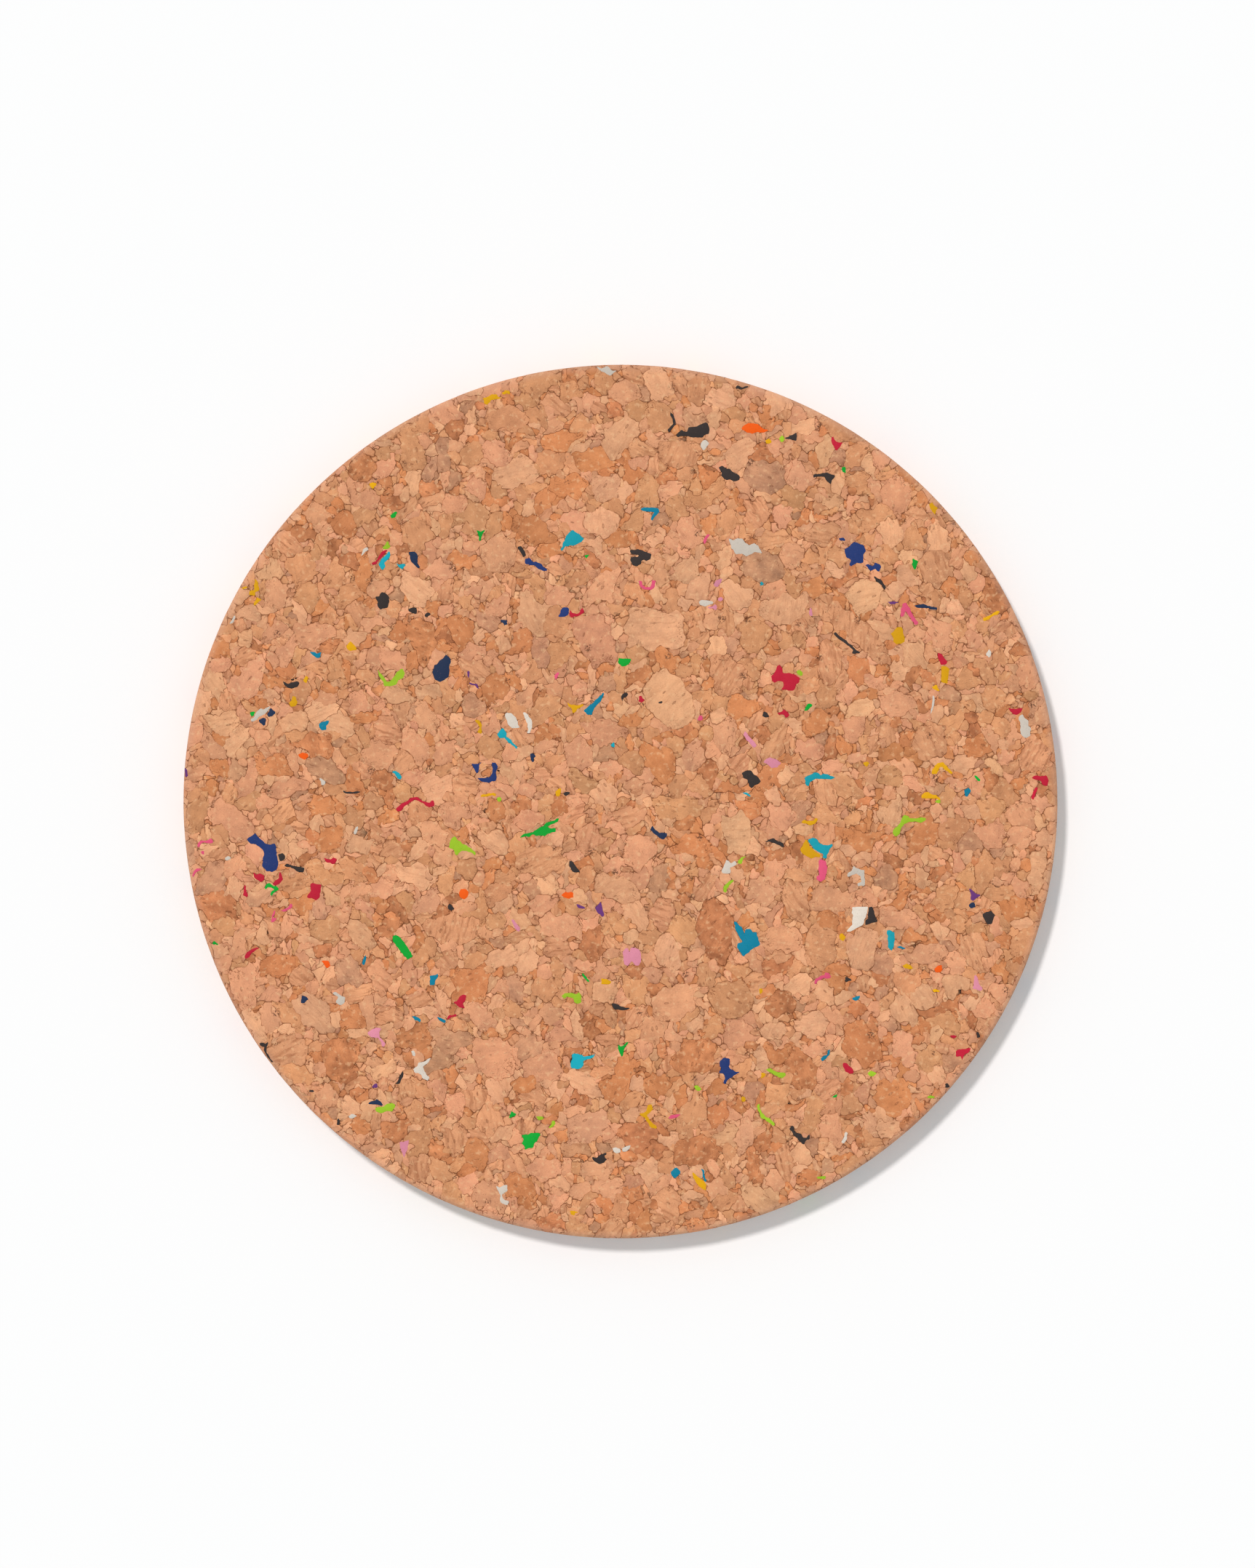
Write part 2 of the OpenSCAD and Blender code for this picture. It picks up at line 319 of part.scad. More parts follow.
white_px = [
    [820,504, 828,508, 834,503, 838,508, 842,510, 848,510, 842,513, 839,517, 834,514, 829,512, 824,509],
    [965,607, 969,605, 975,610, 971,614, 967,620, 963,614],
    [1001,740, 1007,744, 1014,741, 1020,741, 1024,747, 1030,750, 1037,747, 1043,753, 1047,761, 1038,759,
     1032,762, 1026,765, 1019,761, 1012,762, 1006,754],
    [497,765, 500,755, 505,753, 506,756, 501,761],
    [323,846, 324,849, 320,857, 315,858, 319,855, 320,850],
    [345,990, 350,985, 354,978, 359,975, 362,976, 367,973, 372,971, 372,972, 366,980, 358,985, 352,990,
     347,993],
    [440,1070, 444,1072, 448,1075, 446,1079, 442,1079],
    [694,983, 697,980, 703,981, 709,987, 714,1000, 705,1001, 699,997, 697,991],
    [719,980, 722,979, 726,984, 730,989, 732,995, 730,1002, 728,1008, 725,1008, 726,1002, 725,995,
     722,988],
    [960,828, 964,825, 975,826, 980,829, 975,832, 969,834, 963,832],
    [1355,899, 1359,893, 1362,897, 1361,903, 1358,905],
    [1282,956, 1284,958, 1283,970, 1280,980, 1278,982, 1281,970],
    [1400,985, 1405,982, 1408,988, 1413,991, 1413,998, 1416,1000, 1415,1012, 1411,1015, 1404,1012,
     1402,1003, 1403,995, 1400,991],
    [310,1179, 314,1177, 318,1180, 314,1183, 310,1182],
    [486,1147, 489,1138, 492,1136, 492,1140, 489,1148],
    [457,1365, 461,1364, 468,1368, 474,1371, 474,1377, 470,1382, 465,1381, 462,1376, 466,1371, 461,1368],
    [992,1196, 996,1189, 998,1182, 1001,1184, 1004,1187, 1010,1184, 1013,1188, 1008,1191, 1003,1193,
     1004,1201, 993,1201],
    [1164,1205, 1166,1200, 1171,1196, 1173,1191, 1177,1194, 1183,1196, 1188,1197, 1187,1205, 1189,1213,
     1187,1218, 1180,1218, 1179,1214, 1184,1212, 1182,1204, 1177,1201, 1171,1202, 1167,1206],
    [1171,1248, 1180,1247, 1192,1247, 1191,1256, 1188,1264, 1186,1271, 1178,1276, 1170,1280, 1163,1281,
     1165,1278, 1171,1272, 1172,1260, 1171,1252],
    [568,1470, 573,1467, 576,1461, 582,1460, 588,1456, 592,1455, 590,1459, 584,1464, 581,1467, 584,1474,
     590,1482, 588,1486, 582,1482, 576,1474, 571,1475],
    [565,1445, 569,1444, 571,1450, 571,1453, 568,1451],
    [479,1534, 484,1531, 491,1534, 486,1537, 481,1537],
    [842,1579, 847,1577, 852,1580, 853,1584, 848,1585, 843,1583],
    [855,1578, 860,1576, 867,1574, 865,1579, 861,1583, 856,1583],
    [682,1630, 686,1633, 693,1630, 697,1629, 698,1636, 693,1640, 690,1642, 691,1648, 695,1650, 700,1651,
     697,1656, 690,1654, 687,1651, 688,1643, 685,1637],
    [1156,1570, 1160,1563, 1162,1556, 1165,1558, 1163,1566, 1159,1572]
];

// Outlines of the large cork granules, in pixels of the photograph: x, y, x, y
pale_px = [
    [806,705, 826,700, 845,703, 852,713, 848,733, 836,740, 815,737, 802,722],
    [641,585, 650,583, 655,593, 652,600, 640,598],
    [777,627, 810,603, 812,612, 800,620, 786,626],
    [327,868, 335,863, 349,869, 348,885, 342,895, 332,888, 327,880],
    [381,990, 395,982, 410,975, 423,978, 424,990, 420,1003, 405,1007, 390,1003],
    [700,920, 704,911, 712,908, 718,912, 714,919, 706,922],
    [680,880, 690,870, 700,875, 702,890, 695,902, 685,900],
    [858,850, 863,838, 875,833, 890,835, 905,838, 925,841, 941,847, 943,860, 943,880, 938,892, 915,893,
     890,893, 865,887, 861,870],
    [930,828, 936,820, 948,823, 953,830, 945,838, 931,837],
    [1042,840, 1050,826, 1065,821, 1085,818, 1108,818, 1112,828, 1110,842, 1098,850, 1085,858, 1065,860,
     1052,852],
    [884,945, 895,928, 912,920, 928,925, 938,938, 948,955, 957,970, 957,982, 945,998, 928,1003, 905,990,
     890,975],
    [974,980, 985,974, 995,978, 1000,988, 990,996, 978,993],
    [1070,1062, 1077,1050, 1084,1055, 1090,1068, 1083,1078, 1073,1075],
    [475,1155, 485,1151, 500,1152, 512,1156, 514,1168, 500,1175, 480,1173, 475,1165],
    [474,1140, 478,1130, 485,1131, 486,1136, 484,1148, 476,1149],
    [444,1220, 452,1221, 463,1229, 465,1238, 461,1248, 453,1249, 446,1240, 443,1228],
    [352,1285, 362,1265, 370,1280, 374,1292, 362,1302, 354,1300],
    [682,1305, 700,1300, 712,1308, 712,1322, 695,1332, 680,1332, 668,1322, 670,1308],
    [815,1205, 830,1200, 855,1203, 875,1215, 880,1235, 860,1243, 835,1235, 818,1225],
    [990,1128, 1005,1118, 1022,1117, 1030,1125, 1033,1145, 1030,1168, 1021,1174, 1012,1177, 1002,1172,
     996,1155, 992,1140],
    [928,1208, 933,1206, 936,1212, 936,1220, 931,1224, 927,1216],
    [855,1280, 868,1278, 878,1283, 880,1293, 870,1299, 855,1297],
    [900,1305, 905,1285, 918,1280, 930,1290, 938,1305, 937,1325, 925,1338, 912,1332, 903,1320],
    [1163,1295, 1170,1284, 1185,1276, 1198,1276, 1205,1285, 1204,1305, 1200,1325, 1190,1335, 1172,1333,
     1162,1320],
    [1290,1350, 1298,1342, 1312,1340, 1325,1343, 1335,1345, 1330,1355, 1318,1362, 1316,1375, 1308,1382,
     1300,1375, 1296,1360],
    [1222,1385, 1230,1372, 1245,1363, 1255,1373, 1262,1385, 1264,1400, 1255,1412, 1240,1405, 1228,1397],
    [1415,1178, 1420,1168, 1435,1163, 1440,1175, 1438,1195, 1435,1215, 1428,1232, 1418,1228, 1412,1210,
     1414,1195],
    [504,1436, 512,1432, 517,1440, 516,1452, 509,1456, 505,1448],
    [625,1486, 632,1478, 640,1487, 646,1494, 640,1500, 629,1496],
    [680,1410, 683,1402, 692,1401, 697,1410, 695,1422, 686,1424, 680,1420],
    [672,1565, 685,1553, 700,1547, 712,1545, 705,1558, 690,1568, 677,1573],
    [1043,1415, 1055,1405, 1072,1405, 1082,1415, 1078,1428, 1060,1431, 1047,1427],
    [1012,1570, 1013,1553, 1020,1537, 1030,1535, 1037,1548, 1035,1565, 1028,1583, 1017,1586],
    [933,1645, 942,1636, 955,1637, 966,1642, 965,1650, 948,1650, 938,1650],
    [1245,1494, 1252,1491, 1262,1495, 1270,1499, 1258,1504, 1248,1501],
    [1355,1048, 1365,1043, 1378,1052, 1380,1062, 1372,1066, 1360,1060],
    [1280,1275, 1288,1266, 1298,1272, 1302,1285, 1295,1293, 1284,1288]
];
rosy_px = [
    [668,742, 680,736, 697,736, 708,744, 710,752, 711,775, 697,786, 683,790, 667,783, 657,768, 658,755],
    [606,690, 625,681, 640,681, 643,697, 633,705, 610,706, 604,700],
    [476,680, 490,674, 515,673, 528,685, 520,697, 500,700, 490,697],
    [403,863, 414,858, 440,857, 462,862, 463,873, 450,884, 430,893, 410,891, 406,878],
    [366,1087, 380,1076, 405,1070, 423,1074, 425,1085, 410,1090, 390,1099, 370,1096],
    [341,1001, 360,1000, 370,1003, 374,1015, 370,1027, 352,1027, 345,1015],
    [784,858, 790,850, 805,848, 817,843, 827,845, 832,858, 840,875, 848,900, 846,908, 835,913, 815,917,
     807,905, 799,885, 789,870],
    [628,900, 635,890, 650,885, 668,888, 670,897, 655,905, 640,908],
    [709,960, 715,950, 727,938, 736,945, 738,955, 733,970, 725,975, 712,970],
    [773,930, 780,924, 795,925, 798,935, 790,943, 777,941],
    [752,820, 760,806, 775,803, 788,810, 790,822, 780,832, 762,832, 752,830],
    [775,1030, 790,1012, 805,1018, 818,1035, 815,1050, 800,1060, 782,1055],
    [1326,872, 1335,865, 1348,868, 1350,882, 1342,893, 1328,890],
    [1208,960, 1220,952, 1240,953, 1256,957, 1257,972, 1245,983, 1225,987, 1212,978],
    [603,1112, 612,1104, 628,1101, 642,1107, 644,1122, 636,1138, 625,1143, 612,1134, 603,1124],
    [574,1135, 585,1127, 600,1128, 608,1138, 615,1147, 615,1158, 608,1168, 597,1163, 585,1155, 576,1147],
    [708,1120, 722,1113, 740,1116, 750,1122, 746,1131, 738,1135, 726,1142, 713,1142, 708,1132],
    [742,1262, 755,1258, 780,1258, 797,1262, 800,1275, 798,1290, 780,1293, 760,1290, 745,1285],
    [857,1170, 865,1150, 885,1145, 898,1155, 903,1172, 890,1190, 872,1198, 860,1190],
    [1048,1290, 1055,1278, 1075,1275, 1098,1277, 1103,1285, 1098,1305, 1082,1312, 1065,1308, 1050,1303],
    [885,1338, 892,1325, 905,1328, 912,1335, 914,1346, 905,1352, 890,1350],
    [895,1378, 908,1362, 925,1354, 945,1350, 957,1358, 955,1378, 950,1395, 930,1405, 905,1402, 893,1392],
    [1052,1115, 1060,1105, 1078,1103, 1090,1112, 1092,1130, 1080,1141, 1062,1138, 1054,1128],
    [1208,1258, 1215,1252, 1235,1251, 1255,1253, 1258,1262, 1253,1273, 1235,1275, 1215,1273, 1208,1268],
    [648,1432, 652,1426, 680,1427, 700,1430, 708,1445, 708,1470, 700,1482, 685,1485, 665,1482, 656,1465,
     651,1450],
    [612,1512, 617,1503, 630,1502, 638,1507, 641,1522, 638,1533, 625,1535, 613,1526],
    [725,1605, 735,1594, 755,1592, 770,1598, 772,1610, 760,1623, 740,1623, 727,1617],
    [869,1441, 871,1431, 885,1426, 897,1435, 898,1448, 885,1458, 871,1453],
    [1222,1438, 1228,1420, 1240,1415, 1250,1425, 1256,1440, 1262,1455, 1255,1465, 1240,1464, 1230,1455],
    [1239,1479, 1245,1470, 1258,1471, 1265,1480, 1258,1489, 1244,1487],
    [1236,1312, 1248,1307, 1265,1299, 1285,1297, 1298,1300, 1300,1315, 1285,1325, 1262,1327, 1246,1321],
    [1355,1360, 1365,1352, 1382,1354, 1385,1368, 1378,1380, 1362,1376]
];
tan_px = [
    [672,561, 700,558, 724,562, 728,580, 712,592, 690,590, 676,592, 668,577],
    [768,525, 785,523, 795,530, 798,545, 785,551, 768,548],
    [1015,862, 1022,850, 1040,850, 1055,860, 1060,872, 1053,888, 1040,900, 1025,895, 1016,880],
    [962,1010, 967,999, 978,1000, 978,1015, 968,1023, 961,1020],
    [655,1020, 670,1012, 683,1018, 690,1030, 680,1042, 665,1040, 653,1030],
    [663,1262, 672,1254, 688,1257, 697,1265, 690,1277, 675,1278, 665,1272],
    [630,1184, 640,1178, 655,1182, 657,1193, 650,1208, 638,1212, 628,1200],
    [728,1352, 740,1344, 758,1348, 765,1360, 760,1375, 742,1378, 730,1368],
    [1106,1300, 1108,1280, 1120,1272, 1140,1272, 1150,1285, 1151,1305, 1145,1325, 1130,1334, 1115,1325,
     1107,1312],
    [975,1365, 985,1352, 1005,1348, 1025,1352, 1038,1367, 1039,1378, 1030,1392, 1010,1400, 990,1398,
     978,1385],
    [1340,900, 1350,908, 1362,922, 1368,935, 1368,945, 1358,945, 1348,930, 1338,912],
    [1205,1060, 1220,1052, 1235,1060, 1240,1075, 1235,1083, 1218,1080, 1205,1070],
    [425,1270, 440,1262, 465,1264, 468,1280, 462,1293, 440,1294, 427,1288],
    [1050,1502, 1060,1490, 1078,1490, 1090,1500, 1085,1515, 1068,1519, 1054,1514],
    [557,1520, 570,1512, 583,1518, 588,1535, 575,1545, 560,1540]
];
orange_tan_px = [
    [758,657, 772,656, 785,651, 797,653, 808,664, 808,671, 797,686, 788,688, 775,684, 756,676],
    [745,600, 770,592, 800,596, 803,601, 790,609, 770,624, 748,620, 741,608],
    [700,718, 706,712, 724,709, 740,712, 752,722, 765,738, 758,749, 735,751, 722,746, 704,731],
    [624,757, 645,760, 653,768, 654,780, 645,788, 627,782, 615,770],
    [457,712, 470,703, 480,702, 488,710, 491,735, 480,742, 462,735, 452,722],
    [380,922, 388,914, 400,914, 408,922, 404,932, 390,934, 381,932],
    [1102,990, 1112,982, 1128,976, 1140,985, 1140,1000, 1130,1010, 1110,1012, 1103,1005],
    [1205,1032, 1218,1024, 1235,1022, 1242,1035, 1240,1045, 1222,1047, 1208,1042],
    [432,1160, 438,1148, 443,1138, 458,1135, 470,1140, 472,1152, 470,1165, 458,1174, 442,1173, 434,1168],
    [569,1276, 572,1271, 580,1274, 582,1288, 580,1303, 573,1311, 569,1300],
    [932,1232, 936,1226, 943,1227, 948,1235, 944,1243, 936,1244],
    [1234,1286, 1241,1279, 1258,1278, 1272,1284, 1270,1293, 1250,1298, 1236,1296],
    [1156,1430, 1160,1412, 1175,1402, 1195,1410, 1210,1420, 1213,1440, 1208,1460, 1195,1468, 1178,1465,
     1168,1457, 1158,1445],
    [972,1525, 982,1515, 998,1516, 1000,1535, 995,1548, 980,1548, 973,1538],
    [492,1505, 500,1499, 508,1500, 506,1511, 494,1515],
    [702,1490, 712,1479, 728,1478, 736,1487, 738,1500, 725,1503, 708,1501],
    [909,1008, 916,1004, 926,1009, 922,1015, 911,1014],
    [922,1165, 935,1153, 950,1145, 965,1150, 978,1158, 980,1170, 965,1178, 945,1176, 928,1172]
];
bark_px = [
    [558,858, 565,851, 578,853, 592,852, 598,860, 600,880, 597,893, 594,905, 590,912, 580,915, 574,905,
     570,890, 562,880, 557,870],
    [960,1255, 968,1238, 980,1232, 995,1240, 1004,1255, 1007,1280, 1005,1305, 998,1325, 985,1327,
     975,1318, 968,1300, 958,1280],
    [431,1302, 437,1298, 450,1297, 458,1301, 457,1308, 452,1318, 445,1318, 436,1315],
    [443,1435, 455,1428, 480,1428, 495,1435, 492,1455, 484,1475, 475,1490, 460,1488, 450,1475, 442,1455],
    [1050,1374, 1058,1370, 1072,1358, 1085,1365, 1093,1378, 1088,1392, 1070,1398, 1052,1395, 1046,1385],
    [923,1460, 932,1440, 945,1430, 960,1430, 975,1425, 985,1440, 985,1455, 980,1470, 960,1475, 940,1475,
     928,1472],
    [922,1590, 930,1572, 945,1563, 965,1563, 982,1565, 990,1580, 985,1595, 966,1600, 945,1602, 930,1601],
    [1173,1550, 1182,1545, 1188,1555, 1190,1568, 1182,1575, 1174,1570],
    [482,632, 500,622, 515,630, 520,645, 510,660, 490,662, 478,652],
    [402,1025, 420,1010, 438,1008, 455,1012, 460,1025, 455,1040, 440,1043, 428,1041, 426,1034, 415,1031],
    [901,1436, 908,1427, 917,1435, 918,1450, 910,1462, 903,1455],
    [1278,1195, 1285,1190, 1300,1190, 1302,1199, 1294,1205, 1286,1216, 1277,1210],
    [463,765, 478,755, 494,768, 495,775, 483,784, 468,776],
    [1154,1486, 1165,1481, 1172,1490, 1172,1501, 1162,1508, 1155,1500]
];
grey_px = [
    [732,874, 745,876, 752,882, 753,895, 757,905, 750,918, 741,921, 735,905],
    [1290,950, 1297,943, 1305,943, 1320,945, 1321,957, 1312,965, 1300,966, 1291,958],
    [460,1334, 467,1318, 478,1313, 490,1322, 497,1330, 500,1350, 490,1356, 470,1354, 460,1345],
    [603,601, 613,601, 618,618, 617,648, 605,652, 601,630],
    [630,970, 640,955, 652,952, 668,962, 668,980, 655,985, 640,985],
    [1022,642, 1032,632, 1050,634, 1075,636, 1082,650, 1078,668, 1060,680, 1040,680, 1030,668, 1024,655],
    [529,1571, 533,1566, 540,1568, 541,1575, 535,1579, 530,1577],
    [1320,1370, 1324,1364, 1330,1367, 1330,1376, 1322,1375],
    [1202,1202, 1212,1190, 1228,1192, 1237,1205, 1232,1222, 1215,1225, 1205,1215]
];
striped_px = [
    [1119,822, 1140,828, 1165,838, 1190,855, 1205,872, 1222,895, 1226,912, 1212,915, 1195,906, 1186,897,
     1180,888, 1168,878, 1155,867, 1140,858, 1122,845],
    [975,905, 985,898, 1000,900, 1020,915, 1027,930, 1020,950, 1000,958, 985,950, 975,930],
    [1128,886, 1136,881, 1143,884, 1150,890, 1158,905, 1155,930, 1140,945, 1128,940, 1122,920, 1124,900],
    [1258,1008, 1262,997, 1280,993, 1298,1000, 1300,1020, 1295,1040, 1280,1046, 1262,1045, 1256,1030],
    [585,1272, 592,1262, 610,1257, 640,1258, 658,1265, 660,1280, 656,1293, 635,1296, 605,1293, 588,1288],
    [897,1240, 910,1234, 926,1236, 928,1255, 922,1276, 908,1281, 897,1272, 895,1255],
    [1070,1230, 1080,1212, 1095,1208, 1105,1220, 1112,1240, 1112,1255, 1100,1268, 1085,1262, 1075,1248],
    [708,1185, 717,1172, 730,1164, 750,1162, 768,1165, 777,1176, 776,1190, 765,1202, 745,1205, 725,1203,
     712,1196],
    [507,1325, 512,1317, 525,1320, 533,1335, 540,1352, 535,1365, 523,1374, 513,1362, 508,1345],
    [1352,1325, 1360,1310, 1372,1302, 1378,1308, 1370,1320, 1360,1334, 1352,1333],
    [902,612, 920,607, 950,607, 961,612, 965,625, 958,640, 935,645, 912,642, 904,628],
    [1022,697, 1035,682, 1050,690, 1062,705, 1055,720, 1035,728, 1026,715],
    [1105,732, 1120,720, 1145,716, 1155,725, 1152,737, 1135,752, 1108,745]
];

// Chip outlines of every colour, and granule outlines of every kind
chips_px = concat(
    black_px, navy_px, royal_blue_px, teal_px, turquoise_px, green_px, lime_px,
    yellow_px, orange_px, red_px, pink_px, lilac_px, purple_px, white_px
);
granules_px = concat(pale_px, rosy_px, tan_px, orange_tan_px, bark_px, grey_px, striped_px);

// Colours that show in the side, in the order in which they follow each other round the rim
rim_colours = ["black", "lime", "white", "red", "teal", "yellow", "pink", "green", "royal_blue"];

// Points of an outline in millimetres
function placed(px) = [
    for (i = [0:2:len(px) - 1])
        [(px[i] - photo_centre_px[0]) * photo_scale, (photo_centre_px[1] - px[i + 1]) * photo_scale]
];

// Whole disc with both rims rounded
module disc() {
    rotate_extrude() {
        square([disc_r - edge_r, disc_t]);
        translate([0, edge_r]) square([disc_r, disc_t - 2 * edge_r]);
        translate([disc_r - edge_r, edge_r]) circle(edge_r);
        translate([disc_r - edge_r, disc_t - edge_r]) circle(edge_r);
    }
}

// Prisms on a list of outlines, from a depth below the top face to past it
module prisms(outlines, depth) {
    for (px = outlines)
        translate([0, 0, disc_t - depth])
            linear_extrude(depth + overrun) polygon(placed(px));
}

// Inlaid pieces with their tops in the disc's own surface
module inlaid(outlines, depth) {
    intersection() {
        disc();
        prisms(outlines, depth);
    }
}

// Blocks that the rim chips of one colour are cut from
module rim_blocks(colour) {
    first = search([colour], rim_colours)[0];
    corner = rim_chip_w / 2 * rim_chip_corner_share;
    for (i = [0:rim_chips_per_colour - 1])
        rotate([0, 0, (first + i * len(rim_colours)) * rim_chip_turn])
            translate([disc_r - rim_chip_depth, 0, rim_chip_z])
                rotate([90, 0, 90])
                    linear_extrude(rim_chip_depth + overrun)
                        polygon([
                            [-rim_chip_w / 2, 0], [-corner, -rim_chip_h / 2], [corner, -rim_chip_h / 2],
                            [rim_chip_w / 2, 0], [corner, rim_chip_h / 2], [-corner, rim_chip_h / 2]
                        ]);
}

// Rim chips of one colour, flush with the side
module rim_chips(colour) {
    intersection() {
        disc();
        rim_blocks(colour);
    }
}

// Pressed cork body with a pocket for every inlaid piece
module cork_body() {
    color("#d9a074")
    difference() {
        disc();
        prisms(granules_px, granule_depth);
        prisms(chips_px, chip_depth);
        for (colour = rim_colours) rim_blocks(colour);
    }
}

// Large cork granules
module pale_granules() color("#ecca9c") inlaid(pale_px, granule_depth);
module rosy_granules() color("#dc9a7c") inlaid(rosy_px, granule_depth);
module tan_granules() color("#d2a06c") inlaid(tan_px, granule_depth);
module orange_tan_granules() color("#d88f50") inlaid(orange_tan_px, granule_depth);
module bark_granules() color("#9c6440") inlaid(bark_px, granule_depth);
module grey_granules() color("#b89c88") inlaid(grey_px, granule_depth);
module striped_granules() color("#e2b488") inlaid(striped_px, granule_depth);

// Coloured foam chips
module black_chips() color("#33302f") { inlaid(black_px, chip_depth); rim_chips("black"); }
module navy_chips() color("#25365c") inlaid(navy_px, chip_depth);
module royal_blue_chips() color("#2a3a80") { inlaid(royal_blue_px, chip_depth); rim_chips("royal_blue"); }
module teal_chips() color("#0c7fa3") { inlaid(teal_px, chip_depth); rim_chips("teal"); }
module turquoise_chips() color("#22a8c4") inlaid(turquoise_px, chip_depth);
module green_chips() color("#0aa035") { inlaid(green_px, chip_depth); rim_chips("green"); }
module lime_chips() color("#93c720") { inlaid(lime_px, chip_depth); rim_chips("lime"); }
module yellow_chips() color("#dfae0c") { inlaid(yellow_px, chip_depth); rim_chips("yellow"); }
module orange_chips() color("#f25c1a") inlaid(orange_px, chip_depth);
module red_chips() color("#c01c3a") { inlaid(red_px, chip_depth); rim_chips("red"); }
module pink_chips() color("#e0508c") { inlaid(pink_px, chip_depth); rim_chips("pink"); }
module lilac_chips() color("#cf86b6") inlaid(lilac_px, chip_depth);
module purple_chips() color("#5f459c") inlaid(purple_px, chip_depth);
module white_chips() color("#e6e2dd") { inlaid(white_px, chip_depth); rim_chips("white"); }

cork_body();
pale_granules();
rosy_granules();
tan_granules();
orange_tan_granules();
bark_granules();
grey_granules();
striped_granules();
black_chips();
navy_chips();
royal_blue_chips();
teal_chips();
turquoise_chips();
green_chips();
lime_chips();
yellow_chips();
orange_chips();
red_chips();
pink_chips();
lilac_chips();
purple_chips();
white_chips();
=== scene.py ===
"""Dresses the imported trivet: a disc of pressed cork granules flecked with coloured foam chips."""
import logging
import math
from dataclasses import dataclass, field
from enum import Enum
from functools import lru_cache
from typing import Any, Iterator, Optional

import bpy
import numpy as np
from mathutils.geometry import delaunay_2d_cdt
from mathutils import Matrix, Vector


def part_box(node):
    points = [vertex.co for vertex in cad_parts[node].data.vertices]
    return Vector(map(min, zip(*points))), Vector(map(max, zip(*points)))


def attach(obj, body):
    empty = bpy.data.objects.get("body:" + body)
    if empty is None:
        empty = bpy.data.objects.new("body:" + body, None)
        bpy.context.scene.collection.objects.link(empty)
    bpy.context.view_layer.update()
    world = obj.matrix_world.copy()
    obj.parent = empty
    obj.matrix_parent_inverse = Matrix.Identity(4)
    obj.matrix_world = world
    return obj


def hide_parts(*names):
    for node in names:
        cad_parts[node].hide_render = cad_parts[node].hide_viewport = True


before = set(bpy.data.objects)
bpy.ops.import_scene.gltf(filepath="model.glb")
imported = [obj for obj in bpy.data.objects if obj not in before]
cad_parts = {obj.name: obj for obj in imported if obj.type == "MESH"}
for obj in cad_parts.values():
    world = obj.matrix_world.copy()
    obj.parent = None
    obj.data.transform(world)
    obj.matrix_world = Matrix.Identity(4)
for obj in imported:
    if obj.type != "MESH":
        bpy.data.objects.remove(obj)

logging.basicConfig(level=logging.INFO, format="%(message)s")
log = logging.getLogger("trivet")

MM = 0.001
PHOTO_SIZE_PX = (1725, 2156)
DISC_CENTRE_PX = (852.84, 1102.09)
DISC_RADIUS_PX = 600.9
UV_MAP = "OFBake"
# Labels of map points that carry no cork granule
OUTSIDE = -1
CHIP = -2
# Side of the bake map over the disc map's radius, and the size and place of its corner for buried faces
UV_SPAN = 2.04
BURIED_SHARE = 0.12
BURIED_CORNER = 0.07
SHARP = math.radians(22)
# In millimetres: CAD points this close are one, heights this close are level, and map points this close touch
WELD = 0.002
LEVEL = 0.01
TOUCH = 1e-5
# Keeps a length that is divided by from being nought
TINY = 1e-9
# Sharpest corner that an inset follows, as the cosine of half its turn
MITRE = 0.6
# How far points on the rims keep from a tile's outline, and how far apart they lie
RIM_MARGIN = 0.3
RIM_STEP = 0.9
# Shares of a cap's inset and of a chip's fraying, tried in turn until no outline crosses itself
SLACKS = (1.0, 0.5, 0.2, 0.05)
FRAYS = (1.0, 0.5, 0.2, 0.0)
# Points of a torn outline, and its lobes: how many go round it and how far each kind stands out
SCRAP_POINTS = 28
LOBES = ((2, 0.2), (3, 0.22), (5, 0.14), (8, 0.08))
# Rings of a chip: inset as a share of its rounding, depth in millimetres, and how far out of the crevice,
# which sets how much painted shade the chip's edge gets
CHIP_RINGS = ((0.0, 0.45, 0.0), (0.0, 0.09, 0.2), (0.4, 0.03, 0.8), (1.0, 0.008, 1.0))
# Radii between which the disc's edge grows crumbly, and is rubbed pale, in millimetres
CRUMBLY_FROM, CRUMBLY_TO = 91.0, 97.0
RUBBED_FROM, RUBBED_TO = 95.4, 97.3
# How deep a bump is, in millimetres, and how far the grain's pattern shifts from granule to granule
BUMP_DEPTH = 0.08
GRAIN_SHIFT = 37.0
# Seeds of chance for torn chips, for the underside's chips and for the chips' edges
TEAR_SEED = 8
UNDER_SEED = 31
CHIP_SEED = 5


def linear(code: str) -> np.ndarray:
    """Converts a hex colour code by the sRGB curve.

    Args:
        code: the colour as #rrggbb.

    Returns:
        Its red, green and blue in linear light.
    """
    parts = np.array([int(code[i:i + 2], 16) / 255 for i in (1, 3, 5)])
    return np.where(parts <= 0.04045, parts / 12.92, ((parts + 0.055) / 1.055) ** 2.4)


class Face(Enum):
    """The two maps that together cover the disc."""

    TOP = "top"
    UNDER = "under"


@dataclass(frozen=True)
class CorkFinish:
    """How one kind of cork granule looks, and how common it is."""

    name: str
    colour: str
    share: float
    spread: float = 0.068
    stripes: float = 0.4
    lenticels: float = 0.3
    mottle: float = 0.3
    roughness: float = 0.82
    hush: float = 0.0

    @property
    def node(self) -> str:
        """CAD node that holds the large granules of this kind."""
        return f"{self.name}_granules"


@dataclass(frozen=True)
class FoamFinish:
    """How the foam chips of one colour look."""

    name: str
    colour: str
    pores: float = 0.35
    roughness: float = 0.68

    @property
    def node(self) -> str:
        """CAD node that holds the chips of this colour."""
        return f"{self.name}_chips"


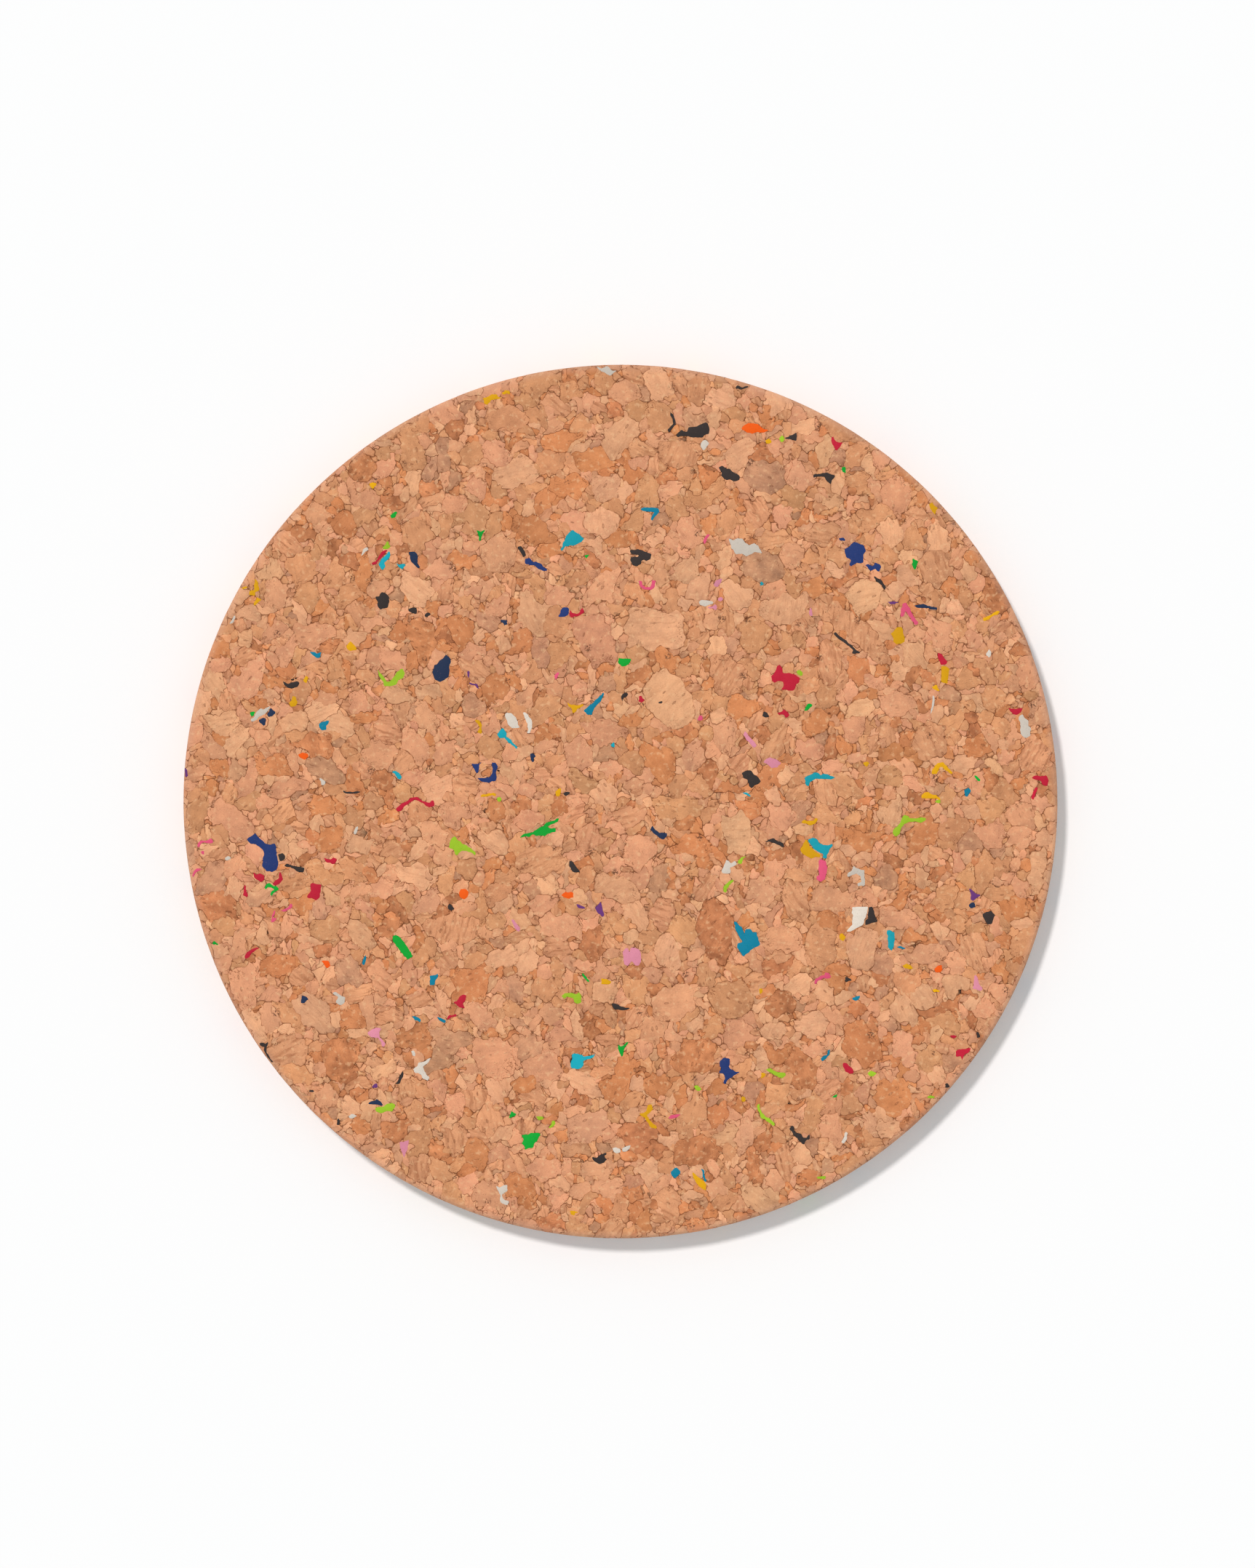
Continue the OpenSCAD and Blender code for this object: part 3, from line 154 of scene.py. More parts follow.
@dataclass(frozen=True)
class Fleck:
    """A crumb of foam too small for the CAD model: its place and size in the photograph's pixels."""

    foam: str
    x: float
    y: float
    wide: float
    tall: float

    def outline(self, scale: float, rng: np.random.Generator) -> np.ndarray:
        """Gives its outline on the top.

        Args:
            scale: millimetres to a pixel.
            rng: source of chance.

        Returns:
            The outline.
        """
        place = np.array([self.x - DISC_CENTRE_PX[0], DISC_CENTRE_PX[1] - self.y]) * scale
        return place + scrap(self.wide / 2 * scale, self.tall / 2 * scale, rng)


CORKS = [
    CorkFinish("pale", "#dea279", 0.15, stripes=0.45, lenticels=0.25, mottle=0.3, hush=0.6),
    CorkFinish("rosy", "#d89670", 0.25, stripes=0.15, lenticels=0.25),
    CorkFinish("tan", "#d09064", 0.25, stripes=0.3),
    CorkFinish("orange_tan", "#cc8050", 0.12, stripes=0.2, lenticels=0.35),
    CorkFinish("bark", "#c0784e", 0.06, spread=0.08, mottle=0.7, lenticels=0.7, roughness=0.9),
    CorkFinish("grey", "#c18967", 0.04, mottle=0.5, lenticels=0.5),
    CorkFinish("striped", "#d6956c", 0.13, stripes=1.2, lenticels=0.5),
]
FOAMS = [
    FoamFinish("black", "#322a28"),
    FoamFinish("navy", "#1e2e4c"),
    FoamFinish("royal_blue", "#203670"),
    FoamFinish("teal", "#007b97"),
    FoamFinish("turquoise", "#12a2b2"),
    FoamFinish("green", "#00a330"),
    FoamFinish("lime", "#9cc126"),
    FoamFinish("yellow", "#e2a500"),
    FoamFinish("orange", "#f65a08"),
    FoamFinish("red", "#c11935"),
    FoamFinish("pink", "#e15478"),
    FoamFinish("lilac", "#da899d"),
    FoamFinish("purple", "#693576"),
    FoamFinish("white", "#d8ccbe", pores=0.5),
]
FLECKS = [
    Fleck("yellow", 696, 540, 9, 5), Fleck("yellow", 1286, 946, 8, 7), Fleck("yellow", 1286, 1362, 9, 4),
    Fleck("yellow", 788, 1667, 10, 5), Fleck("red", 881, 962, 7, 8), Fleck("purple", 1227, 829, 14, 3),
    Fleck("purple", 516, 1493, 6, 6), Fleck("turquoise", 1047, 803, 5, 4), Fleck("green", 296, 1297, 6, 4),
    Fleck("lime", 1289, 1102, 8, 4), Fleck("lime", 1130, 1619, 9, 4), Fleck("lime", 1279, 1508, 7, 4),
    Fleck("black", 1165, 1347, 9, 5), Fleck("black", 1302, 1493, 5, 6), Fleck("black", 908, 966, 5, 3),
]


@dataclass(frozen=True)
class Skin:
    """Unrolls the top, the rounded rims and the side into one flat round map, in millimetres.

    The map's distance from the centre runs over the top, round the upper rim, down the side and round
    the lower rim. The under map is the top's flat part alone, turned over.
    """

    radius: float
    height: float
    edge: float
    face: Face

    @property
    def flat(self) -> float:
        """Radius of the flat face."""
        return self.radius - self.edge

    @property
    def quarter(self) -> float:
        """Length over one rounded rim."""
        return self.edge * math.pi / 2

    @property
    def side(self) -> float:
        """Height of the straight side."""
        return self.height - 2 * self.edge

    @property
    def reach(self) -> float:
        """Radius of the whole map."""
        return self.flat if self.face is Face.UNDER else self.flat + 2 * self.quarter + self.side

    def place(self, uv: np.ndarray, depth: np.ndarray) -> np.ndarray:
        """Puts map points on the disc.

        Args:
            uv: map points, one row each.
            depth: how far each lies below the surface.

        Returns:
            Their places on the disc, in millimetres.
        """
        run = np.maximum(np.linalg.norm(uv, axis=1), TINY)
        over = run - self.flat
        upper = np.clip(over / self.edge, 0, math.pi / 2)
        lower = np.clip((over - self.quarter - self.side) / self.edge, 0, math.pi / 2)
        down = np.clip(over - self.quarter, 0, self.side)
        arc = self.edge - depth
        out = np.where(lower > 0, self.flat + arc * np.cos(lower), self.flat + arc * np.sin(upper))
        out = np.where(over <= 0, run, out)
        z = self.height - self.edge + arc * np.cos(upper) - down - arc * np.sin(lower)
        z = np.where(over <= 0, self.height - depth, z)
        x, y = (uv / run[:, None] * out[:, None]).T
        if self.face is Face.UNDER:
            return np.stack([x, -y, self.height - z], 1)
        return np.stack([x, y, z], 1)

    def unroll(self, points: np.ndarray) -> np.ndarray:
        """Takes places inside a CAD piece's buried face to the map.

        Args:
            points: places in millimetres, either on a level face or on one that faces the disc's axis.

        Returns:
            Map points.
        """
        out = np.maximum(np.linalg.norm(points[:, :2], axis=1), TINY)
        if np.ptp(points[:, 2]) < LEVEL:
            turned = self.edge * np.arcsin(np.clip((out - self.flat) / self.edge, 0, 1))
            run = np.where(out > self.flat, self.flat + turned, out)
        else:
            run = self.flat + self.quarter + self.height - self.edge - points[:, 2]
        return points[:, :2] / out[:, None] * run[:, None]


class Waves:
    """Smooth seeded noise: a sum of plane waves in random directions."""

    # Shortest and longest wave, as shares of the given length
    RANGE = (0.7, 1.6)

    def __init__(self, rng: np.random.Generator, length: float, count: int = 9) -> None:
        """Draws the waves."""
        turn = rng.uniform(0, 2 * math.pi, count)
        pace = 2 * math.pi / (length * rng.uniform(*self.RANGE, count))
        self.pace = np.stack([np.cos(turn), np.sin(turn)]) * pace
        self.phase = rng.uniform(0, 2 * math.pi, count)
        self.gain = math.sqrt(2 / count)

    def __call__(self, uv: np.ndarray) -> np.ndarray:
        """Gives the noise at map points, with a spread of about one."""
        return np.sin(uv @ self.pace + self.phase).sum(-1) * self.gain


class Lattice:
    """A triangular grid of sample points over a round map."""

    def __init__(self, reach: float, pitch: float) -> None:
        """Lays the points a pitch apart, a little past the given radius."""
        self.pitch = pitch
        self.rise = pitch * math.sqrt(3) / 2
        self.rows = np.arange(-int(reach / self.rise) - 3, int(reach / self.rise) + 4)
        self.cols = np.arange(-int(reach / pitch) - 3, int(reach / pitch) + 4)
        x = self.cols[None] * pitch + (self.rows[:, None] % 2) * pitch / 2
        y = np.broadcast_to(self.rows[:, None] * self.rise, x.shape)
        self.points = np.stack([x, y], -1)

    def window(self, centre: np.ndarray, half: np.ndarray) -> tuple[slice, slice]:
        """Gives the rows and columns that a box round a place covers.

        Args:
            centre: the place.
            half: half the box's width and height.

        Returns:
            The rows, then the columns.
        """
        low, high = centre - half, centre + half
        row = np.clip([low[1] // self.rise - self.rows[0], high[1] // self.rise - self.rows[0] + 2],
                      0, len(self.rows))
        col = np.clip([low[0] // self.pitch - self.cols[0] - 1, high[0] // self.pitch - self.cols[0] + 2],
                      0, len(self.cols))
        return slice(int(row[0]), int(row[1])), slice(int(col[0]), int(col[1]))

    def triangles(self) -> np.ndarray:
        """Lists the grid's triangles, counter-clockwise, as point numbers."""
        wide = len(self.cols)
        row, col = np.meshgrid(np.arange(len(self.rows) - 1), np.arange(wide - 1), indexing="ij")
        a = row * wide + col
        b, c, d = a + 1, a + wide, a + wide + 1
        even = (self.rows[:-1] % 2 == 0)[:, None] & np.ones_like(a, bool)
        first = np.stack([a, b, np.where(even, c, d)], -1)
        second = np.stack([np.where(even, b, a), d, c], -1)
        return np.concatenate([first.reshape(-1, 3), second.reshape(-1, 3)])


def within(points: np.ndarray, outline: np.ndarray) -> np.ndarray:
    """Tells which points lie inside a closed outline, by the even-odd rule.

    Args:
        points: the points.
        outline: the outline.

    Returns:
        Whether each lies inside.
    """
    inside = np.zeros(points.shape[:-1], bool)
    x, y = points[..., 0], points[..., 1]
    for (x1, y1), (x2, y2) in zip(outline, np.roll(outline, -1, 0)):
        if y1 != y2:
            inside ^= ((y1 > y) != (y2 > y)) & (x < (x2 - x1) * (y - y1) / (y2 - y1) + x1)
    return inside


def clearance(points: np.ndarray, outline: np.ndarray) -> np.ndarray:
    """Gives each point's distance to a closed outline, negative inside it.

    Args:
        points: the points.
        outline: the outline.

    Returns:
        The distances.
    """
    best = np.full(points.shape[:-1], np.inf)
    for a, b in zip(outline, np.roll(outline, -1, 0)):
        leg = b - a
        share = np.clip(((points - a) @ leg) / max(leg @ leg, 1e-12), 0, 1)
        best = np.minimum(best, np.linalg.norm(points - a - share[..., None] * leg, axis=-1))
    return np.where(within(points, outline), -best, best)


def area(loop: np.ndarray) -> float:
    """Signed area of a closed loop, positive where it runs counter-clockwise."""
    ahead = np.roll(loop, -1, 0)
    return float((loop[:, 0] * ahead[:, 1] - ahead[:, 0] * loop[:, 1]).sum() / 2)


def cad_outlines(node: str, skin: Skin) -> list[np.ndarray]:
    """Reads the outlines of a CAD node's separate pieces from their buried faces.

    Args:
        node: the CAD node's name.
        skin: the map that the outlines are wanted on.

    Returns:
        One counter-clockwise outline in map millimetres for each piece.
    """
    bpy.ops.object.select_all(action="DESELECT")
    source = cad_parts[node]
    copy = bpy.data.objects.new("reading", source.data.copy())
    bpy.context.collection.objects.link(copy)
    copy.select_set(True)
    bpy.context.view_layer.objects.active = copy
    bpy.ops.object.mode_set(mode="EDIT")
    bpy.ops.mesh.select_all(action="SELECT")
    bpy.ops.mesh.remove_doubles(threshold=WELD * MM)
    bpy.ops.object.mode_set(mode="OBJECT")
    mesh = copy.data
    points = np.array([v.co[:] for v in mesh.vertices]) / MM
    faces = [tuple(p.vertices) for p in mesh.polygons]
    owner = list(range(len(points)))

    def root(i: int) -> int:
        """Finds the point that stands for all those joined to this one."""
        while owner[i] != i:
            owner[i] = owner[owner[i]]
            i = owner[i]
        return i

    for face in faces:
        for other in face[1:]:
            owner[root(other)] = root(face[0])
    islands: dict[int, list[tuple[int, ...]]] = {}
    for face in faces:
        islands.setdefault(root(face[0]), []).append(face)
    outlines = []
    for island in islands.values():
        used = np.unique(np.concatenate([np.array(f) for f in island]))
        middle = points[used].mean(0)
        top = points[used, 2].max() > skin.height - skin.edge
        outward = np.array([0, 0, 1.0]) if top else np.append(middle[:2] / np.linalg.norm(middle[:2]), 0)
        lift = points @ outward
        floor = lift[used].min() + LEVEL
        buried = [f for f in island if all(lift[i] < floor for i in f)]
        sides = {(f[k], f[(k + 1) % len(f)]) for f in buried for k in range(len(f))}
        step = dict(s for s in sides if (s[1], s[0]) not in sides)
        if len(step) < 3:
            continue
        first = next(iter(step))
        ring, at = [first], step[first]
        while at != first and len(ring) <= len(step):
            ring.append(at)
            at = step[at]
        loop = skin.unroll(points[ring])
        outlines.append(loop if area(loop) > 0 else loop[::-1])
    bpy.data.objects.remove(copy)
    bpy.data.meshes.remove(mesh)
    return outlines


@dataclass
class Ring:
    """One closed ring of a tile: how far in from its outline, how deep, and how far out of its crevice, which
    sets how much painted crevice shade its colour gets.
    """

    inset: np.ndarray
    depth: np.ndarray
    lit: np.ndarray


@dataclass(frozen=True)
class Look:
    """What the material needs to know of one granule or chip."""

    tone: np.ndarray
    grain: np.ndarray
    home: np.ndarray

    @classmethod
    def drawn(cls, tone: np.ndarray, turn: float, home: np.ndarray, rng: np.random.Generator) -> "Look":
        """Makes one from a tone, the way its grain runs and its place, with a number of its own."""
        return cls(np.clip(tone, 0, 0.9), np.array([math.cos(turn), math.sin(turn), rng.uniform()]), home)


@dataclass
class Stock:
    """Gathers the tiles of one piece before they become a mesh."""

    uv: list[np.ndarray] = field(default_factory=list)
    depth: list[np.ndarray] = field(default_factory=list)
    lit: list[np.ndarray] = field(default_factory=list)
    looks: list[Look] = field(default_factory=list)
    sizes: list[int] = field(default_factory=list)
    faces: list[tuple[int, ...]] = field(default_factory=list)
    hidden: list[bool] = field(default_factory=list)
    count: int = 0


def home_of(outline: np.ndarray, least: float = 0.5) -> np.ndarray:
    """Gives an outline's middle and half its mean size, which is never under the least."""
    return np.append(outline.mean(0), max(least, float(np.ptp(outline, axis=0).mean()) / 2))


def inset(loop: np.ndarray, width: np.ndarray) -> np.ndarray:
    """Moves a closed loop to its left by a width given for each point.

    Args:
        loop: the loop.
        width: each point's width.

    Returns:
        The loop moved.
    """
    def unit(legs: np.ndarray) -> np.ndarray:
        """Scales each row to a length of one."""
        return legs / np.maximum(np.linalg.norm(legs, axis=1), TINY)[:, None]

    def left(legs: np.ndarray) -> np.ndarray:
        """Gives the unit vector to the left of each leg."""
        return unit(np.stack([-legs[:, 1], legs[:, 0]], 1))

    behind, ahead = left(loop - np.roll(loop, 1, 0)), left(np.roll(loop, -1, 0) - loop)
    middle = unit(behind + ahead)
    spread = np.clip((middle * ahead).sum(1), MITRE, 1)
    return loop + middle * (width / spread)[:, None]


def triangulate(loops: list[np.ndarray], inner: np.ndarray) -> Optional[list[tuple[int, ...]]]:
    """Fills the region between an outline and its holes with triangles.

    Args:
        loops: the outline, then any holes.
        inner: points inside the region that the triangles also use.

    Returns:
        Triangles as numbers into the loops' points and then the inner ones, or None where loops cross.
    """
    points = np.concatenate(loops + [inner]) if len(inner) else np.concatenate(loops)
    edges, start = [], 0
    for loop in loops:
        n = len(loop)
        edges += [(start + k, start + (k + 1) % n) for k in range(n)]
        start += n
    _, _, faces, origin, _, _ = delaunay_2d_cdt(points.tolist(), edges, [], 1, TOUCH)
    if any(len(o) != 1 for o in origin):
        return None
    found = [tuple(origin[i][0] for i in f) for f in faces]
    for hole in loops[1:]:
        if not found:
            break
        outside = ~within(points[np.array(found)].mean(1), hole)
        found = [f for f, keep in zip(found, outside) if keep]
    return found or None


def add_tile(stock: Stock, loops: list[np.ndarray], layers: list[list[Ring]], inner: np.ndarray,
             look: Look) -> bool:
    """Adds one closed tile: a filled underside, rings that climb inwards, and a filled cap.

    Args:
        stock: the piece that gets the tile.
        loops: the tile's outline, then any holes, each with the tile to its left.
        layers: each loop's rings, from the underside to the cap.
        inner: points that the cap and the underside use to follow a curved face.
        look: the tile's tone and grain.

    Returns:
        Whether the tile could be made.
    """
    for slack in SLACKS:
        caps = [inset(loop, r[-1].inset * slack) for loop, r in zip(loops, layers)]
        cap = triangulate(caps, inner)
        if cap:
            break
    under = triangulate(loops, inner)
    if not cap or not under:
        return False
    deep, high = layers[0][0].depth.max(), layers[0][-1].depth.min()
    sizes = [len(loop) for loop in loops]
    total, height = sum(sizes), len(layers[0])
    uv, depth, lit = [], [], []
    for level in range(height):
        for loop, r in zip(loops, layers):
            uv.append(inset(loop, r[level].inset * slack))
            depth.append(r[level].depth)
            lit.append(r[level].lit)
    for level in (deep, high):
        uv.append(inner)
        depth.append(np.full(len(inner), level))
        lit.append(np.ones(len(inner)))
    base, top = stock.count, stock.count + total * (height - 1)
    spare = stock.count + total * height

    def number(i: int, first: int, extra: int) -> int:
        """Turns a point's number in a filled face into its number in the stock."""
        return first + i if i < total else extra + i - total

    for face in under:
        stock.faces.append(tuple(number(i, base, spare) for i in reversed(face)))
    stock.hidden += [True] * len(under)
    for face in cap:
        stock.faces.append(tuple(number(i, top, spare + len(inner)) for i in face))
    stock.hidden += [False] * len(cap)
    for level in range(height - 1):
        start = base + level * total
        for n in sizes:
            for k in range(n):
                a, b = start + k, start + (k + 1) % n
                stock.faces.append((a, b, b + total, a + total))
            stock.hidden += [False] * n
            start += n
    stock.uv += uv
    stock.depth += depth
    stock.lit += lit
    made = total * height + 2 * len(inner)
    stock.looks.append(look)
    stock.sizes.append(made)
    stock.count += made
    return True


def make_piece(name: str, stock: Stock, skin: Skin) -> bpy.types.Object:
    """Turns gathered tiles into an object. Thousands of fitted outlines can't come from mesh tools.

    Args:
        name: the object's name.
        stock: its tiles.
        skin: the map that they lie on.

    Returns:
        The object, at the origin, in metres.
    """
    uv = np.concatenate(stock.uv)
    mesh = bpy.data.meshes.new(name)
    mesh.from_pydata((skin.place(uv, np.concatenate(stock.depth)) * MM).tolist(), [], stock.faces)
    tone, grain, home = (np.repeat(np.array(rows), stock.sizes, axis=0)
                         for rows in zip(*[(k.tone, k.grain, k.home) for k in stock.looks]))
    one = np.ones((len(uv), 1))
    offset = (uv - home[:, :2]) / home[:, 2:]
    for title, kind, member, values in (
            ("tone", "FLOAT_COLOR", "color", np.hstack([tone, one])),
            ("grain", "FLOAT_VECTOR", "vector", grain),
            ("offset", "FLOAT_VECTOR", "vector", np.hstack([offset, 0 * one])),
            ("lit", "FLOAT", "value", np.concatenate(stock.lit))):
        mesh.attributes.new(title, kind, "POINT").data.foreach_set(member, values.ravel())
    corner = np.empty(len(mesh.loops), np.int32)
    mesh.loops.foreach_get("vertex_index", corner)
    loops = np.empty(len(mesh.polygons), np.int32)
    mesh.polygons.foreach_get("loop_total", loops)
    hidden = np.repeat(np.array(stock.hidden), loops)
    spot = uv[corner] / (UV_SPAN * skin.reach)
    spot = np.where(hidden[:, None], spot * BURIED_SHARE + BURIED_CORNER, spot + 0.5)
    mesh.uv_layers.new(name=UV_MAP).data.foreach_set("uv", spot.ravel())
    mesh.shade_smooth()
    mesh.set_sharp_from_angle(angle=SHARP)
    mesh.validate()
    piece = bpy.data.objects.new(name, mesh)
    bpy.context.collection.objects.link(piece)
    log.info("%s: %d tiles, %d faces", name, len(stock.looks), len(mesh.polygons))
    return piece


@dataclass(frozen=True)
class Pattern:
    """Sizes of the granule pattern, in millimetres."""

    seed: int = 11
    pitch: float = 0.36
    smooth: int = 2
    # Border points on a run straighter than the first are left out, while no step passes the second
    thin: float = 0.03
    longest: float = 0.9
    crevice: float = 0.15
    # A crevice narrows on a granule where this share of its size is less than the crevice
    slender: float = 0.2
    # Width of an open crevice over the mean one, and how much of that a closed one loses
    widest: float = 1.25
    narrowing: float = 0.7
    crevice_depth: float = 0.13
    least_depth: float = 0.06
    # How far borders are closed: their mean, their most, and the length and size of each wave that varies it
    faint: float = 0.5
    faintest: float = 0.96
    fadings: tuple[tuple[float, float], ...] = ((5.0, 0.3), (0.8, 0.42))
    cap_depth: float = 0.045
    cap_range: tuple[float, float] = (0.6, 1.4)
    # How much more the tones of the smallest granules vary, over the kind's own spread, and how small that is
    small_spread: float = 1.4
    small: float = 1.2
    # Spread of each colour channel, and the most spreads that a tone strays
    hue_spread: float = 0.014
    extreme: float = 1.7
    least_area: float = 0.03
    chip_overlap: float = 0.12
    # How far past a CAD granule, a chip and a grown granule the grid is looked at
    granule_margin: float = 3.0
    chip_margin: float = 2.0
    view_margin: float = 2.2
    view_share: float = 1.4
    # How far a tile's outline is drawn in, tried in turn until the outline no longer touches itself
    squeezes: tuple[float, ...] = (0.0, 0.02, 0.06, 0.15)
    # Length and size of each wave that bends the granules' borders
    warps: tuple[tuple[float, float], ...] = ((6.0, 0.4), (1.9, 0.16), (0.85, 0.07))
    # The same for the borders of the granules that the CAD model places
    frays: tuple[tuple[float, float], ...] = ((3.6, 0.32), (1.3, 0.07))
    # Share of the places where three granules meet that have a pit, and how a pit spreads, opens and deepens
    pits: float = 0.6
    pit_spread: float = 0.6
    pit_opening: float = 0.8
    pit_depth: float = 0.08
    pit_width: float = 0.14
    # A granule's straight sides: their number, skew and distances, and how far it keeps to them
    corners: int = 6
    skew: float = 0.35
    facets: tuple[float, float] = (0.85, 1.25)
    straight: float = 0.75
    # A granule's size and length over the usual, and how near its neighbours its middle may lie
    growth: tuple[float, float] = (0.85, 1.2)
    stretch: tuple[float, float] = (1.0, 1.45)
    crowding: float = 0.82
    # Radius of each size of granule, and how many places are tried for it on each square millimetre
    radii: tuple[float, ...] = (3.1, 2.3, 1.7, 1.2, 0.8, 0.5)
    tries: tuple[float, ...] = (0.012, 0.03, 0.08, 0.22, 0.5, 0.7)


PATTERNS = {
    Face.TOP: Pattern(),
    Face.UNDER: Pattern(seed=23, pitch=0.5, thin=0.06, longest=1.3, tries=(0.012, 0.03, 0.08, 0.2, 0.3, 0.1)),
}


class Mosaic:
    """The pattern of cork granules over one face's map."""

    def __init__(self, skin: Skin, pattern: Pattern) -> None:
        """Starts an empty pattern."""
        self.skin = skin
        self.pattern = pattern
        self.rng = np.random.default_rng(pattern.seed)
        self.lattice = Lattice(skin.reach, pattern.pitch)
        self.kinds: list[int] = []
        self.turns: list[float] = []

    def grow(self, fixed: list[tuple[int, np.ndarray]], chips: list[np.ndarray]) -> np.ndarray:
        """Labels every grid point with the granule that it belongs to.

        Args:
            fixed: kind and outline of each granule that the CAD model places.
            chips: outlines of the foam chips.

        Returns:
            The labels, in the grid's shape.
        """
        grid, rng, pattern = self.lattice.points, self.rng, self.pattern
        bent = grid + self.bends(pattern.warps)
        frayed = grid + self.bends(pattern.frays)
        room = np.full(grid.shape[:2], np.inf)
        best = np.full(grid.shape[:2], np.inf)
        labels = np.full(grid.shape[:2], OUTSIDE, np.int32)
        taken = []
        for kind, outline in fixed:
            spot, gap = self.claim(outline, pattern.granule_margin, frayed, room)
            taken.append((spot, gap < 0, self.enrol(kind)))
        for outline in chips:
            spot, gap = self.claim(outline, pattern.chip_margin, grid, room)
            taken.append((spot, gap < -pattern.chip_overlap, CHIP))
        disc = np.linalg.norm(grid, axis=-1) < self.skin.reach
        spots = np.argwhere(disc)
        shares = np.array([cork.share for cork in CORKS])
        for radius, tries in zip(pattern.radii, pattern.tries):
            for pick in rng.integers(0, len(spots), int(tries * math.pi * self.skin.reach ** 2)):
                row, col = spots[pick]
                if room[row, col] < radius * pattern.crowding:
                    continue
                size = radius * rng.uniform(*pattern.growth)
                label = self.enrol(int(rng.choice(len(CORKS), p=shares / shares.sum())))
                long = rng.uniform(*pattern.stretch)
                ways = np.array([math.cos(self.turns[label]), math.sin(self.turns[label])])
                half = np.full(2, size * pattern.view_share + pattern.view_margin)
                spot = self.lattice.window(grid[row, col], half)
                away = bent[spot] - grid[row, col]
                along, across = away @ ways / long, (away @ np.array([-ways[1], ways[0]])) * long
                turns = np.arange(pattern.corners) + rng.uniform(-pattern.skew, pattern.skew, pattern.corners)
                turns = turns * 2 * math.pi / pattern.corners
                facing = along[..., None] * np.cos(turns) + across[..., None] * np.sin(turns)
                faceted = (facing * rng.uniform(*pattern.facets, pattern.corners)).max(-1)
                reach = pattern.straight * faceted + (1 - pattern.straight) * np.hypot(along, across) - size
                room[spot] = np.minimum(room[spot], reach)
                nearer = reach < best[spot]
                best[spot] = np.where(nearer, reach, best[spot])
                labels[spot] = np.where(nearer, label, labels[spot])
        for spot, inside, label in taken:
            labels[spot] = np.where(inside, label, labels[spot])
        labels[~disc] = OUTSIDE
        log.info("%s map: %d granules", self.skin.face.value, len(self.kinds))
        return labels

    def claim(self, outline: np.ndarray, margin: float, places: np.ndarray,
              room: np.ndarray) -> tuple[tuple[slice, slice], np.ndarray]:
        """Takes the room inside an outline.

        Args:
            outline: the outline.
            margin: how far past it the grid is looked at.
            places: where each grid point counts as lying.
            room: each point's free distance, which is brought up to date.

        Returns:
            The rows and columns looked at, and the distance of each point there from the outline.
        """
        middle, half = (outline.max(0) + outline.min(0)) / 2, np.ptp(outline, axis=0) / 2 + margin
        spot = self.lattice.window(middle, half)
        gap = clearance(places[spot], outline)
        room[spot] = np.minimum(room[spot], gap)
        return spot, gap

    def bends(self, sizes: tuple[tuple[float, float], ...]) -> np.ndarray:
        """Adds up waves of several lengths and sizes, one set for each way, at every grid point."""
        grid = self.lattice.points
        return np.stack([sum(size * Waves(self.rng, length)(grid) for length, size in sizes)
                         for _ in range(2)], -1)

    def enrol(self, kind: int) -> int:
        """Adds a granule of a kind and returns its label."""
        self.kinds.append(kind)
        self.turns.append(float(self.rng.uniform(0, math.pi)))
        return len(self.kinds) - 1

    def trace(self, labels: np.ndarray) -> tuple[np.ndarray, np.ndarray, dict[int, list[list[int]]]]:
        """Follows the borders between labels.

        Args:
            labels: the label of every grid point.

        Returns:
            The border points, how deep in a pit each one is, and each label's closed loops of point
            numbers with the label to the left.
        """
        tri = self.lattice.triangles()
        lab = labels.ravel()[tri]
        mixed = ~((lab[:, 0] == lab[:, 1]) & (lab[:, 1] == lab[:, 2]))
        tri, lab, n = tri[mixed].astype(np.int64), lab[mixed], labels.size
        turned = np.roll(tri, -1, 1)
        keys = np.minimum(tri, turned) * n + np.maximum(tri, turned)
        centre = -1 - np.arange(len(tri))
        three = (lab[:, 0] != lab[:, 1]) & (lab[:, 1] != lab[:, 2]) & (lab[:, 0] != lab[:, 2])
        runs = []
        for k in range(3):
            j, alone = (k + 1) % 3, (k + 2) % 3
            pair = (lab[:, k] == lab[:, j]) & (lab[:, alone] != lab[:, k])
            runs.append((lab[pair, alone], keys[pair, alone], keys[pair, j]))
            runs.append((lab[pair, k], keys[pair, j], keys[pair, alone]))
            runs.append((lab[three, k], keys[three, k], centre[three]))
            runs.append((lab[three, k], centre[three], keys[three, alone]))
        owner, start, end = (np.concatenate([r[i] for r in runs]) for i in range(3))
        names, numbers = np.unique(np.concatenate([start, end]), return_inverse=True)
        start, end = numbers[:len(start)], numbers[len(start):]
        flat = self.lattice.points.reshape(-1, 2)
        edge = names >= 0
        points = np.empty((len(names), 2))
        points[edge] = (flat[names[edge] // n] + flat[names[edge] % n]) / 2
        points[~edge] = flat[tri[-1 - names[~edge]]].mean(1)
        rim = np.zeros(len(points), bool)
        rim[start[owner == OUTSIDE]] = True
        for _ in range(self.pattern.smooth):
            total = np.zeros_like(points)
            np.add.at(total, start, points[end])
            np.add.at(total, end, points[start])
            count = np.bincount(start, minlength=len(points)) + np.bincount(end, minlength=len(points))
            points += 0.5 * (total / count[:, None] - points)
            points[rim] *= (self.skin.reach / np.linalg.norm(points[rim], axis=1))[:, None]
        kept = self.thinned(points, start, end)
        pit = np.where(edge, 0.0, self.rng.uniform(0, 1, len(points)) < self.pattern.pits)
        for _ in range(2):
            wider = pit.copy()
            np.maximum.at(wider, start, pit[end] * self.pattern.pit_spread)
            np.maximum.at(wider, end, pit[start] * self.pattern.pit_spread)
            pit = wider
        order = np.argsort(owner, kind="stable")
        cuts = np.flatnonzero(np.diff(owner[order])) + 1
